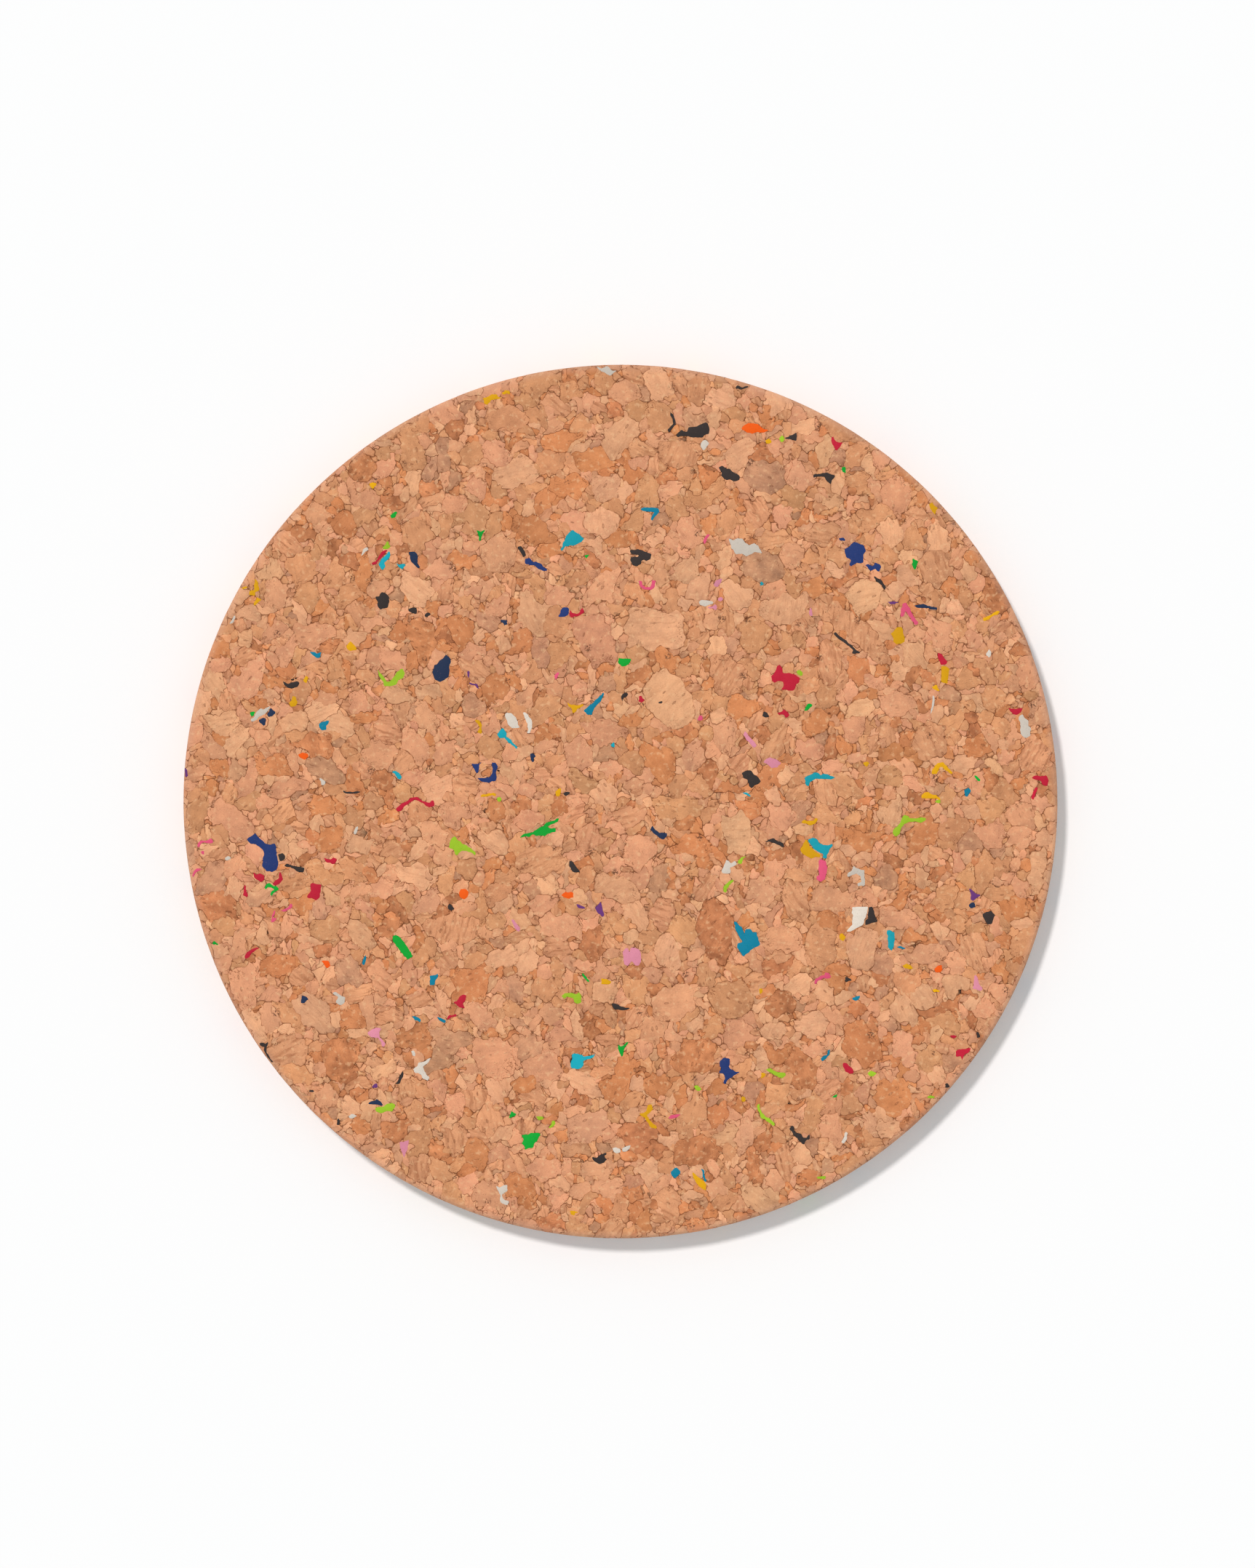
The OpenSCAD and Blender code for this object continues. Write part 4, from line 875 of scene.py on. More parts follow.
        loops: dict[int, list[list[int]]] = {}
        for group in np.split(order, cuts):
            label = int(owner[group[0]])
            if label >= 0:
                loops[label] = [loop for loop in closed(start[group], end[group], kept) if len(loop) > 2]
        return points, pit, loops

    def thinned(self, points: np.ndarray, start: np.ndarray, end: np.ndarray) -> np.ndarray:
        """Marks the border points that are kept once nearly straight runs lose some of theirs.

        Args:
            points: the border points.
            start: where each step starts.
            end: where it ends.

        Returns:
            Whether each point is kept.
        """
        beside: list[list[int]] = [[] for _ in points]
        for a, b in {(min(p), max(p)) for p in zip(start.tolist(), end.tolist())}:
            beside[a].append(b)
            beside[b].append(a)
        kept = np.ones(len(points), bool)
        xs, ys = points[:, 0].tolist(), points[:, 1].tolist()
        for _ in range(3):
            fresh = set()
            for i, near in enumerate(beside):
                if not kept[i] or len(near) != 2 or i in fresh:
                    continue
                a, b = near
                if b in beside[a] or a in fresh or b in fresh:
                    continue
                dx, dy = xs[b] - xs[a], ys[b] - ys[a]
                length = math.hypot(dx, dy)
                away = abs(dx * (ys[i] - ys[a]) - dy * (xs[i] - xs[a])) / max(length, TINY)
                if away < self.pattern.thin and length < self.pattern.longest:
                    kept[i] = False
                    beside[a][beside[a].index(i)] = b
                    beside[b][beside[b].index(i)] = a
                    fresh.update((a, b))
        return kept

    def build(self, fixed: list[tuple[int, np.ndarray]], chips: list[np.ndarray]) -> list[Stock]:
        """Makes the tiles of every kind of granule.

        Args:
            fixed: kind and outline of each granule that the CAD model places.
            chips: outlines of the foam chips.

        Returns:
            One stock of tiles for each kind.
        """
        points, pit, loops = self.trace(self.grow(fixed, chips))
        pattern, rng = self.pattern, self.rng
        waves = (size * Waves(rng, length)(points) for length, size in pattern.fadings)
        faint = np.clip(sum(waves, pattern.faint) - pattern.pit_opening * pit, 0.0, pattern.faintest)
        deep = pattern.least_depth + pattern.crevice_depth * (1 - faint) + pattern.pit_depth * pit
        wide = pattern.crevice * (pattern.widest - pattern.narrowing * faint) + pattern.pit_width * pit
        stocks = [Stock() for _ in CORKS]
        lost = 0
        for label, rings in loops.items():
            cork = CORKS[self.kinds[label]]
            home = home_of(points[max(rings, key=len)] if rings else points[:1])
            spread = cork.spread * (1 + pattern.small_spread * math.exp(-home[2] / pattern.small))
            chance = np.clip(rng.normal(), -pattern.extreme, pattern.extreme)
            tone = linear(cork.colour) * (1 + spread * chance)
            tone *= rng.normal(1.0, pattern.hue_spread, 3)
            look = Look.drawn(tone, self.turns[label], home, rng)
            cap_depth = pattern.cap_depth * rng.uniform(*pattern.cap_range)
            outers = [r for r in rings if area(points[r]) > pattern.least_area]
            holes = [r for r in rings if area(points[r]) < -pattern.least_area]
            for outer in outers:
                mine = [h for h in holes if within(points[h[0]], points[outer])] if len(rings) > 1 else []
                group = [outer] + mine
                thick = min(1.0, pattern.slender * math.sqrt(abs(area(points[outer]))) / pattern.crevice)
                layers = []
                for at in group:
                    zero = np.zeros(len(at))
                    cap = Ring(wide[at] * thick, zero + cap_depth, zero + 1)
                    layers.append([Ring(zero, deep[at], faint[at]), cap])
                for squeeze in pattern.squeezes:
                    ground = [inset(points[at], np.full(len(at), squeeze)) for at in group]
                    inner = inner_points(self.skin, ground)
                    if add_tile(stocks[self.kinds[label]], ground, layers, inner, look):
                        break
                else:
                    lost += 1
        log.info("%s map: %d tiles could not be made", self.skin.face.value, lost)
        return stocks


def closed(start: np.ndarray, end: np.ndarray, kept: np.ndarray) -> Iterator[list[int]]:
    """Chains directed border steps into closed loops of the kept points.

    Args:
        start: where each step starts.
        end: where it ends.
        kept: whether each point is kept.

    Returns:
        One loop of point numbers at a time.
    """
    step = dict(zip(start.tolist(), end.tolist()))
    while step:
        first, at = step.popitem()
        loop = [first]
        while at != first:
            loop.append(at)
            at = step.pop(at)
        yield [i for i in loop if kept[i]]


@lru_cache
def rim_grid(skin: Skin) -> np.ndarray:
    """Lays map points over the rounded rims and the side, close together where the surface curves.

    Args:
        skin: the map.

    Returns:
        The points.
    """
    turns = np.arange(4) / 3 * skin.quarter
    thirds = skin.quarter + skin.side * np.array([0.33, 0.67])
    rings = []
    for level in np.concatenate([turns, skin.quarter + skin.side + turns, thirds]):
        run = skin.flat + level
        around = np.arange(0, 2 * math.pi, RIM_STEP / run) + level
        rings.append(np.stack([np.cos(around), np.sin(around)], 1) * run)
    return np.concatenate(rings)


def inner_points(skin: Skin, loops: list[np.ndarray]) -> np.ndarray:
    """Gives the rim points that lie well inside an outline and outside its holes.

    Args:
        skin: the map.
        loops: the outline, then any holes.

    Returns:
        The points.
    """
    none = np.empty((0, 2))
    outer = loops[0]
    if skin.face is Face.UNDER or np.linalg.norm(outer, axis=1).max() < skin.flat:
        return none
    grid = rim_grid(skin)
    near = grid[((grid > outer.min(0)) & (grid < outer.max(0))).all(1)]
    if not len(near):
        return none
    deep = clearance(near, outer) < -RIM_MARGIN
    for hole in loops[1:]:
        deep &= clearance(near, hole) > RIM_MARGIN
    return near[deep]


def scrap(along: float, across: float, rng: np.random.Generator) -> np.ndarray:
    """Draws a torn, lobed outline with the given half sizes around the origin.

    Args:
        along: half its length.
        across: half its width.
        rng: source of chance.

    Returns:
        The outline.
    """
    angle = np.arange(SCRAP_POINTS) * 2 * math.pi / SCRAP_POINTS
    lobes = 1 + sum(size * np.sin(count * angle + rng.uniform(0, 2 * math.pi)) for count, size in LOBES)
    return np.stack([along * np.cos(angle), across * np.sin(angle)], 1) * lobes[:, None]


@dataclass(frozen=True)
class Strewing:
    """How many chips the underside has, how far apart they lie, and the range of their half sizes."""

    count: int = 126
    gap: float = 6.5
    along: tuple[float, float] = (0.5, 2.4)
    across: tuple[float, float] = (0.35, 1.1)

    def strew(self, skin: Skin, rng: np.random.Generator) -> dict[str, list[np.ndarray]]:
        """Strews chips of every colour over the underside, clear of each other.

        Args:
            skin: the map.
            rng: source of chance.

        Returns:
            Each colour's outlines.
        """
        taken: list[np.ndarray] = []
        chips: dict[str, list[np.ndarray]] = {foam.name: [] for foam in FOAMS}
        while len(taken) < self.count:
            place = rng.uniform(-skin.flat, skin.flat, 2)
            clear = all(np.linalg.norm(place - other) > self.gap for other in taken)
            if clear and np.linalg.norm(place) < skin.flat - self.gap:
                turn = rng.uniform(0, math.pi)
                shape = scrap(rng.uniform(*self.along), rng.uniform(*self.across), rng)
                turned = np.array([[math.cos(turn), math.sin(turn)], [-math.sin(turn), math.cos(turn)]])
                chips[FOAMS[len(taken) % len(FOAMS)].name].append(place + shape @ turned)
                taken.append(place)
        return chips


@dataclass(frozen=True)
class Tearing:
    """Ranges for a side chip: its length over the CAD block's, its turn, its slimness and its shift."""

    length: tuple[float, float] = (0.5, 1.1)
    turn: tuple[float, float] = (-0.7, 0.7)
    slimness: tuple[float, float] = (0.35, 0.75)
    shift: tuple[float, float] = (-1.1, 1.1)

    def tear(self, outline: np.ndarray, skin: Skin, rng: np.random.Generator) -> np.ndarray:
        """Gives a chip on the side a torn shape of its own, and leaves one on the top as it is.

        Args:
            outline: the chip's outline on the map.
            skin: the map.
            rng: source of chance.

        Returns:
            The outline to use.
        """
        middle = outline.mean(0)
        far = np.linalg.norm(middle)
        if far < skin.flat + skin.quarter:
            return outline
        out = middle / far
        aside = np.array([-out[1], out[0]])
        half = float(np.ptp((outline - middle) @ aside)) / 2 * rng.uniform(*self.length)
        turn = rng.uniform(*self.turn)
        along = aside * math.cos(turn) + out * math.sin(turn)
        across = out * math.cos(turn) - aside * math.sin(turn)
        shape = scrap(half, half * rng.uniform(*self.slimness), rng)
        return middle + out * rng.uniform(*self.shift) + shape[:, :1] * along + shape[:, 1:] * across


@dataclass(frozen=True)
class Fraying:
    """How a chip's outline is softened: the step of its points, how far it grows and how that varies."""

    step: float = 0.24
    out: float = 0.07
    vary: float = 0.06
    rounding: float = 0.4

    def soften(self, outline: np.ndarray, ragged: Waves, share: float) -> np.ndarray:
        """Resamples an outline evenly, frays it by a share of the usual and rounds its corners.

        Args:
            outline: the outline.
            ragged: the waves that fray it.
            share: how much of the usual fraying it gets.

        Returns:
            The new outline.
        """
        points = []
        for a, b in zip(outline, np.roll(outline, -1, 0)):
            count = max(1, round(float(np.linalg.norm(b - a)) / self.step))
            points += [a + (b - a) * k / count for k in range(count)]
        loop = np.array(points)
        loop = inset(loop, -(self.out + self.vary * ragged(loop)) * share)
        beside = np.roll(loop, 1, 0) + np.roll(loop, -1, 0)
        return loop * (1 - self.rounding) + self.rounding / 2 * beside


def rgba(colour: np.ndarray) -> tuple[float, ...]:
    """Adds full opacity to a colour."""
    return (*[float(c) for c in colour], 1.0)


class Mark(Enum):
    """Marks on the cork, some of them painted light or shade: how strongly each covers the tone, and its
    colour.
    """

    WARMTH = (0.5, "#e8aa78")
    GROWTH = (0.5, "#9c5c38")
    CRACK = (0.6, "#7c4628")
    LENTICEL = (0.55, "#7a4426")
    PINHOLE = (0.55, "#6a3c22")
    DIRT = (0.9, "#7a4223")
    # Partly pale cork dust and partly painted highlights, in soft pale patches over the granules.
    DUST_AND_PAINTED_HIGHLIGHTS = (0.5, "#efbd8e")
    GRIT = (0.85, "#5a3421")
    CRUMB = (0.85, "#7a3f1e")
    RUB = (0.35, "#cfa086")
    # Dark glue in the crevices together with painted shade that deepens towards a crevice's floor.
    GLUE_AND_CREVICE_SHADE = (0.9, "#743e1a")


class Val:
    """A number in a material, with the usual arithmetic."""

    def __init__(self, net: "Net", socket: Any) -> None:
        """Wraps an output socket."""
        self.net = net
        self.socket = socket

    def math(self, operation: str, *others: Any) -> "Val":
        """Joins this number with others by a Math node's operation."""
        inputs = {0: self} | {i + 1: other for i, other in enumerate(others)}
        return Val(self.net, self.net.add("ShaderNodeMath", {"operation": operation}, inputs).outputs[0])

    def __add__(self, other: Any) -> "Val":
        """Adds."""
        return self.math("ADD", other)

    def __sub__(self, other: Any) -> "Val":
        """Subtracts."""
        return self.math("SUBTRACT", other)

    def __rsub__(self, other: Any) -> "Val":
        """Takes this number away from another."""
        return (self * -1) + other

    def __mul__(self, other: Any) -> "Val":
        """Multiplies."""
        return self.math("MULTIPLY", other)

    def __pow__(self, other: Any) -> "Val":
        """Raises to a power."""
        return self.math("POWER", other)

    __radd__, __rmul__ = __add__, __mul__

    def between(self, low: float, high: float) -> "Val":
        """Runs smoothly from 0 at one value to 1 at another."""
        node = self.net.add("ShaderNodeMapRange", {"interpolation_type": "SMOOTHSTEP"},
                            {"Value": self, "From Min": low, "From Max": high})
        return Val(self.net, node.outputs["Result"])


class Net:
    """A node tree with short calls for the nodes that the materials use."""

    def __init__(self, tree: Any) -> None:
        """Empties a node tree."""
        self.tree = tree
        tree.nodes.clear()

    def add(self, kind: str, settings: dict[str, Any], inputs: dict[Any, Any]) -> Any:
        """Makes a node.

        Args:
            kind: its type.
            settings: its properties, set first.
            inputs: a value, a socket or a Val for each input, by name or number.

        Returns:
            The node.
        """
        node = self.tree.nodes.new(kind)
        for name, value in settings.items():
            setattr(node, name, value)
        for name, value in inputs.items():
            if isinstance(value, Val):
                value = value.socket
            if isinstance(value, bpy.types.NodeSocket):
                self.tree.links.new(value, node.inputs[name])
            else:
                node.inputs[name].default_value = value
        return node

    def attribute(self, name: str, output: str = "Vector") -> Any:
        """Gives one of the mesh's attributes."""
        settings = {"attribute_name": name, "attribute_type": "GEOMETRY"}
        return self.add("ShaderNodeAttribute", settings, {}).outputs[output]

    def millimetres(self) -> Any:
        """Gives the place on the object, in millimetres."""
        place = self.add("ShaderNodeTexCoord", {}, {}).outputs["Object"]
        scaled = self.add("ShaderNodeVectorMath", {"operation": "MULTIPLY"}, {0: place, 1: (1 / MM,) * 3})
        return scaled.outputs[0]

    def noise(self, vector: Any, scale: float, detail: float = 3.0) -> Val:
        """Gives soft noise with the given number of lumps to a unit."""
        return Val(self, self.add("ShaderNodeTexNoise", {"noise_dimensions": "3D"},
                                  {"Vector": vector, "Scale": scale, "Detail": detail}).outputs[0])

    def cells(self, vector: Any, scale: float) -> tuple[Val, Val]:
        """Gives the distance to the nearest scattered point, and that point's random number."""
        node = self.add("ShaderNodeTexVoronoi", {"feature": "F1"}, {"Vector": vector, "Scale": scale})
        red = self.add("ShaderNodeSeparateColor", {}, {0: node.outputs["Color"]}).outputs[0]
        return Val(self, node.outputs["Distance"]), Val(self, red)

    def mix(self, factor: Any, a: Any, b: Any) -> Any:
        """Mixes two colours."""
        return self.add("ShaderNodeMix", {"data_type": "RGBA"}, {0: factor, 6: a, 7: b}).outputs[2]

    def stain(self, under: Any, mask: Val, mark: Mark) -> Any:
        """Lays a mark over a colour where its mask is 1."""
        strength, code = mark.value
        return self.mix(mask * strength, under, rgba(linear(code)))

    def combine(self, x: Any, y: Any, z: Any) -> Any:
        """Joins three numbers into a vector."""
        return self.add("ShaderNodeCombineXYZ", {}, {0: x, 1: y, 2: z}).outputs[0]

    def split(self, vector: Any) -> list[Val]:
        """Takes a vector apart."""
        return [Val(self, out) for out in self.add("ShaderNodeSeparateXYZ", {}, {0: vector}).outputs]


def new_material(name: str) -> tuple[bpy.types.Material, Net]:
    """Makes an empty node material."""
    material = bpy.data.materials.new(name)
    material.use_nodes = True
    return material, Net(material.node_tree)


def finish_material(net: Net, colour: Any, rough: Any, height: Val, bump: float, specular: float) -> None:
    """Ends a material: one shader with colour, roughness and bump from its nodes.

    Args:
        net: the material's nodes.
        colour: its colour.
        rough: its roughness.
        height: its relief.
        bump: strength of the relief.
        specular: its specular level.
    """
    normal = net.add("ShaderNodeBump", {}, {"Strength": bump, "Distance": BUMP_DEPTH * MM, "Height": height})
    shader = net.add("ShaderNodeBsdfPrincipled", {}, {
        "Base Color": colour, "Roughness": rough, "Specular IOR Level": specular,
        "Normal": normal.outputs[0]})
    net.add("ShaderNodeOutputMaterial", {}, {"Surface": shader.outputs[0]})


def cork_material(cork: CorkFinish) -> bpy.types.Material:
    """Pressed cork: each granule has its own tone and grain, with growth lines, lenticels and pits.

    Args:
        cork: the kind of granule.

    Returns:
        The material.
    """
    material, net = new_material(f"cork_{cork.name}")
    whole = net.millimetres()
    x, y, z = net.split(whole)
    cos, sin, chance = net.split(net.attribute("grain"))
    along = x * cos + y * sin
    across = y * cos - x * sin
    shift = z + chance * GRAIN_SHIFT
    local = net.combine(along, across, shift)
    lines = net.combine(along * 0.13, across + net.noise(local, 0.4) * 1.4, shift)
    off_x, off_y, _ = net.split(net.attribute("offset"))
    far = off_x * off_x + off_y * off_y
    outer = far.between(0.15, 0.9) * 0.8 + 0.2
    cloud = net.noise(local, 0.42, 4.0)
    speck = net.noise(local, 3.2)
    # Painted shade and light: each granule is painted lighter towards one side, along its grain, and darker
    # towards its border, like a lit dome.
    painted_dome_shading = (off_x * cos + off_y * sin) * 0.09 - far * 0.045
    # The tone's scale mixes random mottle and speckle with that painted shading.
    mottle_and_painted_shading = 1.043 + (cloud - 0.5) * cork.mottle * 2.0 + (speck - 0.5) * 0.4 + painted_dome_shading
    tone = net.attribute("tone", "Color")
    colour = net.add("ShaderNodeVectorMath", {"operation": "SCALE"}, {0: tone, "Scale": mottle_and_painted_shading}).outputs[0]
    colour = net.stain(colour, cloud - 0.35, Mark.WARMTH)
    growth = net.noise(lines, 1.5, 2.0).between(0.44, 0.74) * cork.stripes
    colour = net.stain(colour, growth, Mark.GROWTH)
    thread = (net.noise(lines, 0.9, 1.0) - 0.5).math("ABSOLUTE").between(0.002, 0.012)
    crack = (1.0 - thread) * net.noise(local, 0.5, 2.0).between(0.56, 0.62)
    colour = net.stain(colour, crack, Mark.CRACK)
    dots, kind = net.cells(net.combine(along * 0.6, across * 1.4, shift), 0.62)
    ring = dots.between(0.05, 0.13) * (1.0 - dots.between(0.17, 0.26))
    ring = ring + (1.0 - dots.between(0.03, 0.1)) * 0.5
    spots = ring * kind.between(1.0 - cork.lenticels, 1.02 - cork.lenticels)
    colour = net.stain(colour, spots, Mark.LENTICEL)
    pits, deep = net.cells(local, 2.3)
    pinholes = (1.0 - pits.between(0.1, 0.22)) * deep.between(0.84, 0.88)
    colour = net.stain(colour, pinholes, Mark.PINHOLE)
    zone = net.noise(whole, 0.16, 2.0).between(0.42, 0.66)
    dirt = net.noise(whole, 2.6, 4.0).between(0.58, 0.7) * (zone * 0.7 + 0.2) * outer
    colour = net.stain(colour, dirt, Mark.DIRT)
    # Pale patches: partly cork dust, partly painted highlights.
    colour = net.stain(colour, net.noise(whole, 0.9, 4.0).between(0.54, 0.7), Mark.DUST_AND_PAINTED_HIGHLIGHTS)
    blot, pick = net.cells(whole, 0.17)
    cluster = (1.0 - blot.between(0.08, 0.2)) * pick.between(0.45, 0.47) * (1.0 - cork.hush)
    colour = net.stain(colour, cluster * net.noise(whole, 2.3).between(0.47, 0.56), Mark.GRIT)
    squiggle = (net.noise(whole, 0.85) - 0.5).math("ABSOLUTE").between(0.006, 0.028)
    from_axis = x * x + y * y
    rim = from_axis.between(CRUMBLY_FROM ** 2, CRUMBLY_TO ** 2)
    crumbly = (net.noise(whole, 0.3, 2.0) + rim * 0.06).between(0.5, 0.6) * (1.0 - cork.hush)
    colour = net.stain(colour, (1.0 - squiggle) * crumbly * outer, Mark.CRUMB)
    colour = net.stain(colour, from_axis.between(RUBBED_FROM ** 2, RUBBED_TO ** 2), Mark.RUB)
    # Painted crevice shade, partly dark glue: the deeper a point lies in its crevice, the darker its colour.
    lit = Val(net, net.attribute("lit", "Fac"))
    colour = net.stain(colour, (1.0 - lit) ** 1.3, Mark.GLUE_AND_CREVICE_SHADE)
    raised = cloud * 0.5 + speck * 0.7
    height = raised - pinholes * 0.9 - spots * 0.4 - dirt * 0.8 - crack * 0.6 - growth * 0.3
    finish_material(net, colour, cork.roughness + (speck - 0.5) * 0.2, height, 0.55, 0.25)
    return material


def foam_material(foam: FoamFinish) -> bpy.types.Material:
    """Closed-cell foam: fine pores cut open by the press, a faint dusting of cork, and painted shade where
    its edge dips into the crevice.

    Args:
        foam: the chips' finish.

    Returns:
        The material.
    """
    material, net = new_material(f"foam_{foam.name}")
    local = net.millimetres()
    own = linear(foam.colour)
    cloud = net.noise(local, 0.9)
    fine = net.noise(local, 6.0, 2.0)
    cells, chance = net.cells(local, 4.2)
    pores = (1.0 - cells.between(0.12, 0.3)) * chance.between(0.45, 0.55)
    base = net.mix((cloud - 0.3) * 0.35, net.attribute("tone", "Color"), rgba(own * 0.75 + 0.012))
    base = net.mix(pores * foam.pores, base, rgba(own * 0.45))
    base = net.mix(net.noise(local, 2.4, 4.0).between(0.62, 0.72) * 0.06, base, rgba(linear("#d9a880")))
    # Painted shade: the chip darkens where its rounded edge dips into the crevice.
    base = net.mix((1.0 - Val(net, net.attribute("lit", "Fac"))) * 0.55, base, rgba(own * 0.4))
    height = fine * 0.6 - pores + cloud * 0.4
    finish_material(net, base, foam.roughness + (fine - 0.5) * 0.18, height, 0.4, 0.18)
    return material


def core_material() -> bpy.types.Material:
    """The dark glued cork that shows at the bottom of the widest crevices."""
    material, net = new_material("cork_core")
    lumps = net.noise(net.millimetres(), 0.8, 5.0)
    colour = net.mix(lumps.between(0.3, 0.7), rgba(linear("#5a3019")), rgba(linear("#8a5430")))
    finish_material(net, colour, 0.9 + (lumps - 0.5) * 0.1, lumps, 0.5, 0.2)
    return material


def seen_rays(net: Net) -> Val:
    """Is 1 where the camera sees a surface, straight or by way of gloss or glass."""
    rays = net.add("ShaderNodeLightPath", {}, {}).outputs
    seen = Val(net, rays["Is Camera Ray"]).math("MAXIMUM", rays["Is Glossy Ray"])
    return seen.math("MAXIMUM", rays["Is Transmission Ray"])


@dataclass
class Trivet:
    """The whole disc: its core, its granules and its chips."""

    radius: float
    height: float
    edge: float = 1.2
    core_depth: float = 0.34
    core_sides: int = 256
    core_steps: int = 4
    chip_rounding: float = 0.1
    chip_share: float = 0.16
    chip_spread: float = 0.07

    def skin(self, face: Face) -> Skin:
        """Map of one face."""
        return Skin(self.radius, self.height, self.edge, face)

    def core(self) -> bpy.types.Object:
        """Makes the closed mass under the granules."""
        bpy.ops.object.select_all(action="DESELECT")
        bpy.ops.mesh.primitive_cylinder_add(
            vertices=self.core_sides, radius=(self.radius - self.core_depth) * MM,
            depth=(self.height - 2 * self.core_depth) * MM, location=(0, 0, self.height / 2 * MM))
        core = bpy.context.object
        core.name = "cork_core"
        bevel = core.modifiers.new("rounding", "BEVEL")
        bevel.width = (self.edge - self.core_depth / 2) * MM
        bevel.segments = self.core_steps
        bevel.angle_limit = math.radians(40)
        bpy.ops.object.modifier_apply(modifier="rounding")
        bpy.ops.object.transform_apply(location=True, rotation=True, scale=True)
        core.data.shade_smooth()
        core.data.set_sharp_from_angle(angle=math.radians(30))
        core.data.materials.append(core_material())
        log.info("cork_core: %d faces", len(core.data.polygons))
        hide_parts("cork_body")
        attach(core, "root")
        return core

    def granules(self, face: Face, fixed: list[tuple[int, np.ndarray]], chips: list[np.ndarray],
                 materials: list[bpy.types.Material]) -> None:
        """Makes one face's pieces, one for each kind of granule.

        Args:
            face: the face.
            fixed: kind and outline of each granule that the CAD model places.
            chips: outlines of the foam chips.
            materials: one for each kind.
        """
        skin = self.skin(face)
        stocks = Mosaic(skin, PATTERNS[face]).build(fixed, chips)
        for cork, stock, material in zip(CORKS, stocks, materials):
            piece = make_piece(f"{cork.name}_cork_{face.value}", stock, skin)
            piece.data.materials.append(material)
            if face is Face.TOP:
                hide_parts(cork.node, "cork_body")
            else:
                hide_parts("cork_body")
            cork.node
            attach(piece, "root")

    def chips(self, foam: FoamFinish, above: list[np.ndarray], below: list[np.ndarray],
              rng: np.random.Generator) -> None:
        """Makes the foam chips of one colour, set a hair proud of the cork and rounded at their edges.

        Args:
            foam: their finish.
            above: outlines on the map of the top and the side.
            below: outlines on the map of the underside.
            rng: source of chance.
        """
        ragged = Waves(rng, 0.9)
        layers = []
        for face, outlines in ((Face.TOP, above), (Face.UNDER, below)):
            skin, stock = self.skin(face), Stock()
            for outline in outlines:
                loops = (Fraying().soften(outline, ragged, fray) for fray in FRAYS)
                if not any(self.chip(foam, loop, skin, stock, rng) for loop in loops):
                    log.info("%s: one chip could not be made", foam.name)
            layers.append(make_piece(f"{foam.name}_foam", stock, skin))
        bpy.ops.object.select_all(action="DESELECT")
        for layer in layers:
            layer.select_set(True)
        piece = layers[0]
        bpy.context.view_layer.objects.active = piece
        bpy.ops.object.join()
        piece.data.materials.append(foam_material(foam))
        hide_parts(foam.node)
        foam.node
        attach(piece, "root")

    def chip(self, foam: FoamFinish, loop: np.ndarray, skin: Skin, stock: Stock,
             rng: np.random.Generator) -> bool:
        """Adds one chip to a stock.

        Args:
            foam: its finish.
            loop: its outline.
            skin: the map.
            stock: the piece that gets it.
            rng: source of chance.

        Returns:
            Whether it could be made.
        """
        width = min(self.chip_rounding, self.chip_share * math.sqrt(abs(area(loop))))
        tone = linear(foam.colour) * rng.normal(1.0, self.chip_spread)
        zero = np.zeros(len(loop))
        rings = [Ring(zero + width * share, zero + depth, zero + lit) for share, depth, lit in CHIP_RINGS]
        look = Look.drawn(tone, rng.uniform(0, math.pi), home_of(loop), rng)
        return add_tile(stock, [loop], [rings], inner_points(skin, [loop]), look)


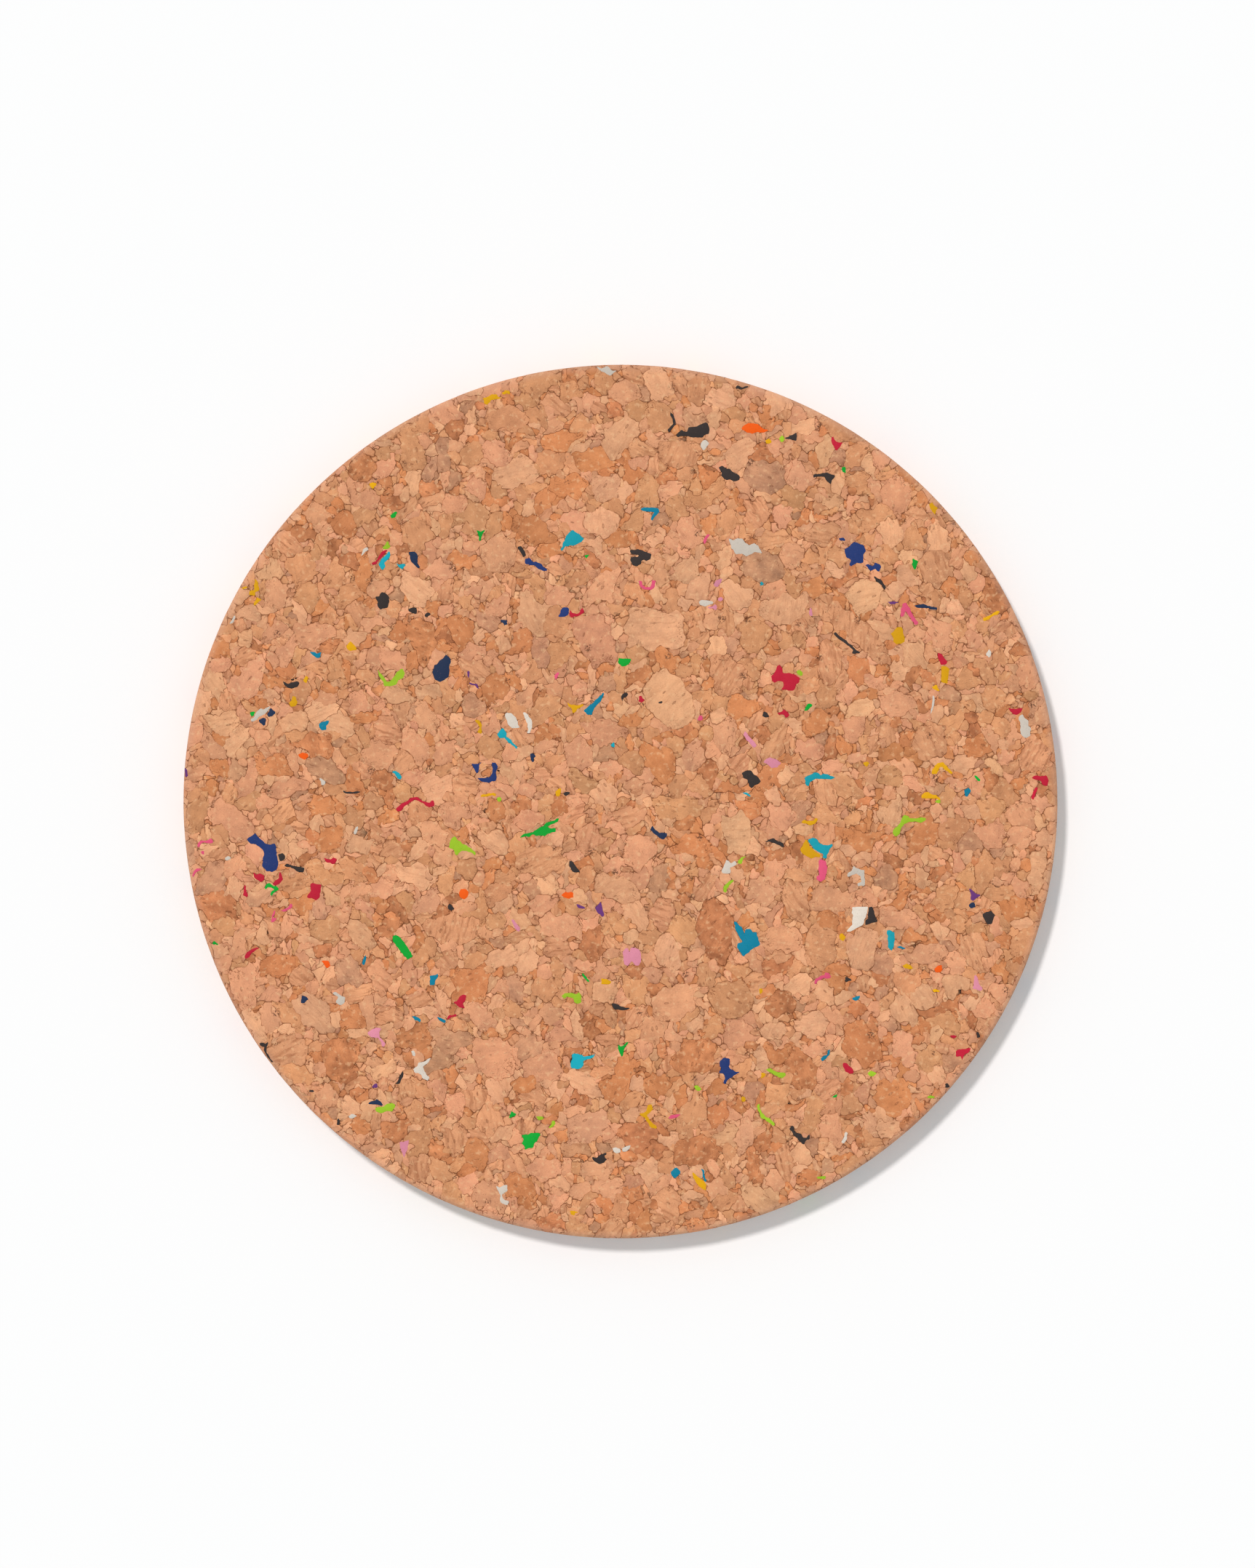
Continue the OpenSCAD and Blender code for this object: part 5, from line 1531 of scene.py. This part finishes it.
@dataclass(frozen=True)
class Studio:
    """Floor, light and camera."""

    key_turn: float = 127.5
    key_tilt: float = 26.4
    key_strength: float = 1.95
    key_softness: float = 6.5
    key_tint: tuple[float, float, float] = (1.0, 0.945, 0.92)
    fill: float = 0.49
    fill_tint: tuple[float, float, float] = (0.9, 0.97, 1.0)
    floor_white: float = 0.15
    floor_tone: float = 0.985
    floor_size: float = 6.0
    distance: float = 1.5
    film: float = 36.0
    sight: float = 20.0

    def build(self, trivet: Trivet) -> None:
        """Sets the stage for a disc.

        Args:
            trivet: the disc.
        """
        bpy.ops.object.select_all(action="DESELECT")
        bpy.ops.mesh.primitive_plane_add(size=self.floor_size, location=(0, 0, 0))
        floor = bpy.context.object
        floor.name = "floor"
        material, net = new_material("floor")
        shader = net.add("ShaderNodeBsdfPrincipled", {}, {
            "Base Color": (*[self.floor_tone] * 3, 1), "Roughness": 1.0, "Specular IOR Level": 0.0})
        white = net.add("ShaderNodeEmission", {}, {"Strength": 1.0})
        mixed = net.add("ShaderNodeMixShader", {}, {
            0: seen_rays(net) * self.floor_white, 1: shader.outputs[0], 2: white.outputs[0]})
        net.add("ShaderNodeOutputMaterial", {}, {"Surface": mixed.outputs[0]})
        floor.data.materials.append(material)
        light = bpy.data.lights.new("key", "SUN")
        light.energy = self.key_strength
        light.angle = math.radians(self.key_softness)
        light.color = self.key_tint
        key = bpy.data.objects.new("key", light)
        key.rotation_euler = (math.radians(self.key_tilt), 0, math.radians(self.key_turn + 90))
        bpy.context.collection.objects.link(key)
        world = bpy.data.worlds.new("studio")
        world.use_nodes = True
        net = Net(world.node_tree)
        seen = seen_rays(net)
        strength = seen * (1 - self.fill) + self.fill
        tint = net.mix(seen, rgba(self.fill_tint), (1, 1, 1, 1))
        sky = net.add("ShaderNodeBackground", {}, {"Color": tint, "Strength": strength})
        net.add("ShaderNodeOutputWorld", {}, {"Surface": sky.outputs[0]})
        bpy.context.scene.world = world
        self.camera(trivet)
        settings = bpy.context.scene.view_settings
        settings.view_transform = "Standard"
        settings.look = "None"

    def camera(self, trivet: Trivet) -> None:
        """Puts the camera straight above, so that the disc falls where the photograph has it.

        Args:
            trivet: the disc.
        """
        scale = trivet.radius / DISC_RADIUS_PX * MM
        data = bpy.data.cameras.new("camera")
        data.sensor_fit = "VERTICAL"
        data.sensor_height = self.film
        data.lens = data.sensor_height * self.distance / (PHOTO_SIZE_PX[1] * scale)
        data.clip_end = self.sight
        camera = bpy.data.objects.new("camera", data)
        widest = (trivet.height - trivet.edge) * MM
        camera.location = ((PHOTO_SIZE_PX[0] / 2 - DISC_CENTRE_PX[0]) * scale,
                           (DISC_CENTRE_PX[1] - PHOTO_SIZE_PX[1] / 2) * scale, self.distance + widest)
        bpy.context.collection.objects.link(camera)
        bpy.context.scene.camera = camera


def main() -> None:
    """Builds the disc in order: core, granules, chips, then the stage."""
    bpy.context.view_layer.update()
    low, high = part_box("cork_body")
    trivet = Trivet(radius=(high[0] - low[0]) / 2 / MM, height=(high[2] - low[2]) / MM)
    skin = trivet.skin(Face.TOP)
    fixed = [(i, o) for i, cork in enumerate(CORKS) for o in cad_outlines(cork.node, skin)]
    tear = np.random.default_rng(TEAR_SEED)
    chips = {foam.name: [Tearing().tear(outline, skin, tear) for outline in cad_outlines(foam.node, skin)]
             for foam in FOAMS}
    for fleck in FLECKS:
        chips[fleck.foam].append(fleck.outline(trivet.radius / DISC_RADIUS_PX, tear))
    log.info("outlines: %d granules, %d chips", len(fixed), sum(map(len, chips.values())))
    trivet.core()
    materials = [cork_material(cork) for cork in CORKS]
    trivet.granules(Face.TOP, fixed, [o for group in chips.values() for o in group], materials)
    below = Strewing().strew(trivet.skin(Face.UNDER), np.random.default_rng(UNDER_SEED))
    trivet.granules(Face.UNDER, [], [o for group in below.values() for o in group], materials)
    rng = np.random.default_rng(CHIP_SEED)
    for foam in FOAMS:
        trivet.chips(foam, chips[foam.name], below[foam.name], rng)
    Studio().build(trivet)


if __name__ == "__main__":
    main()
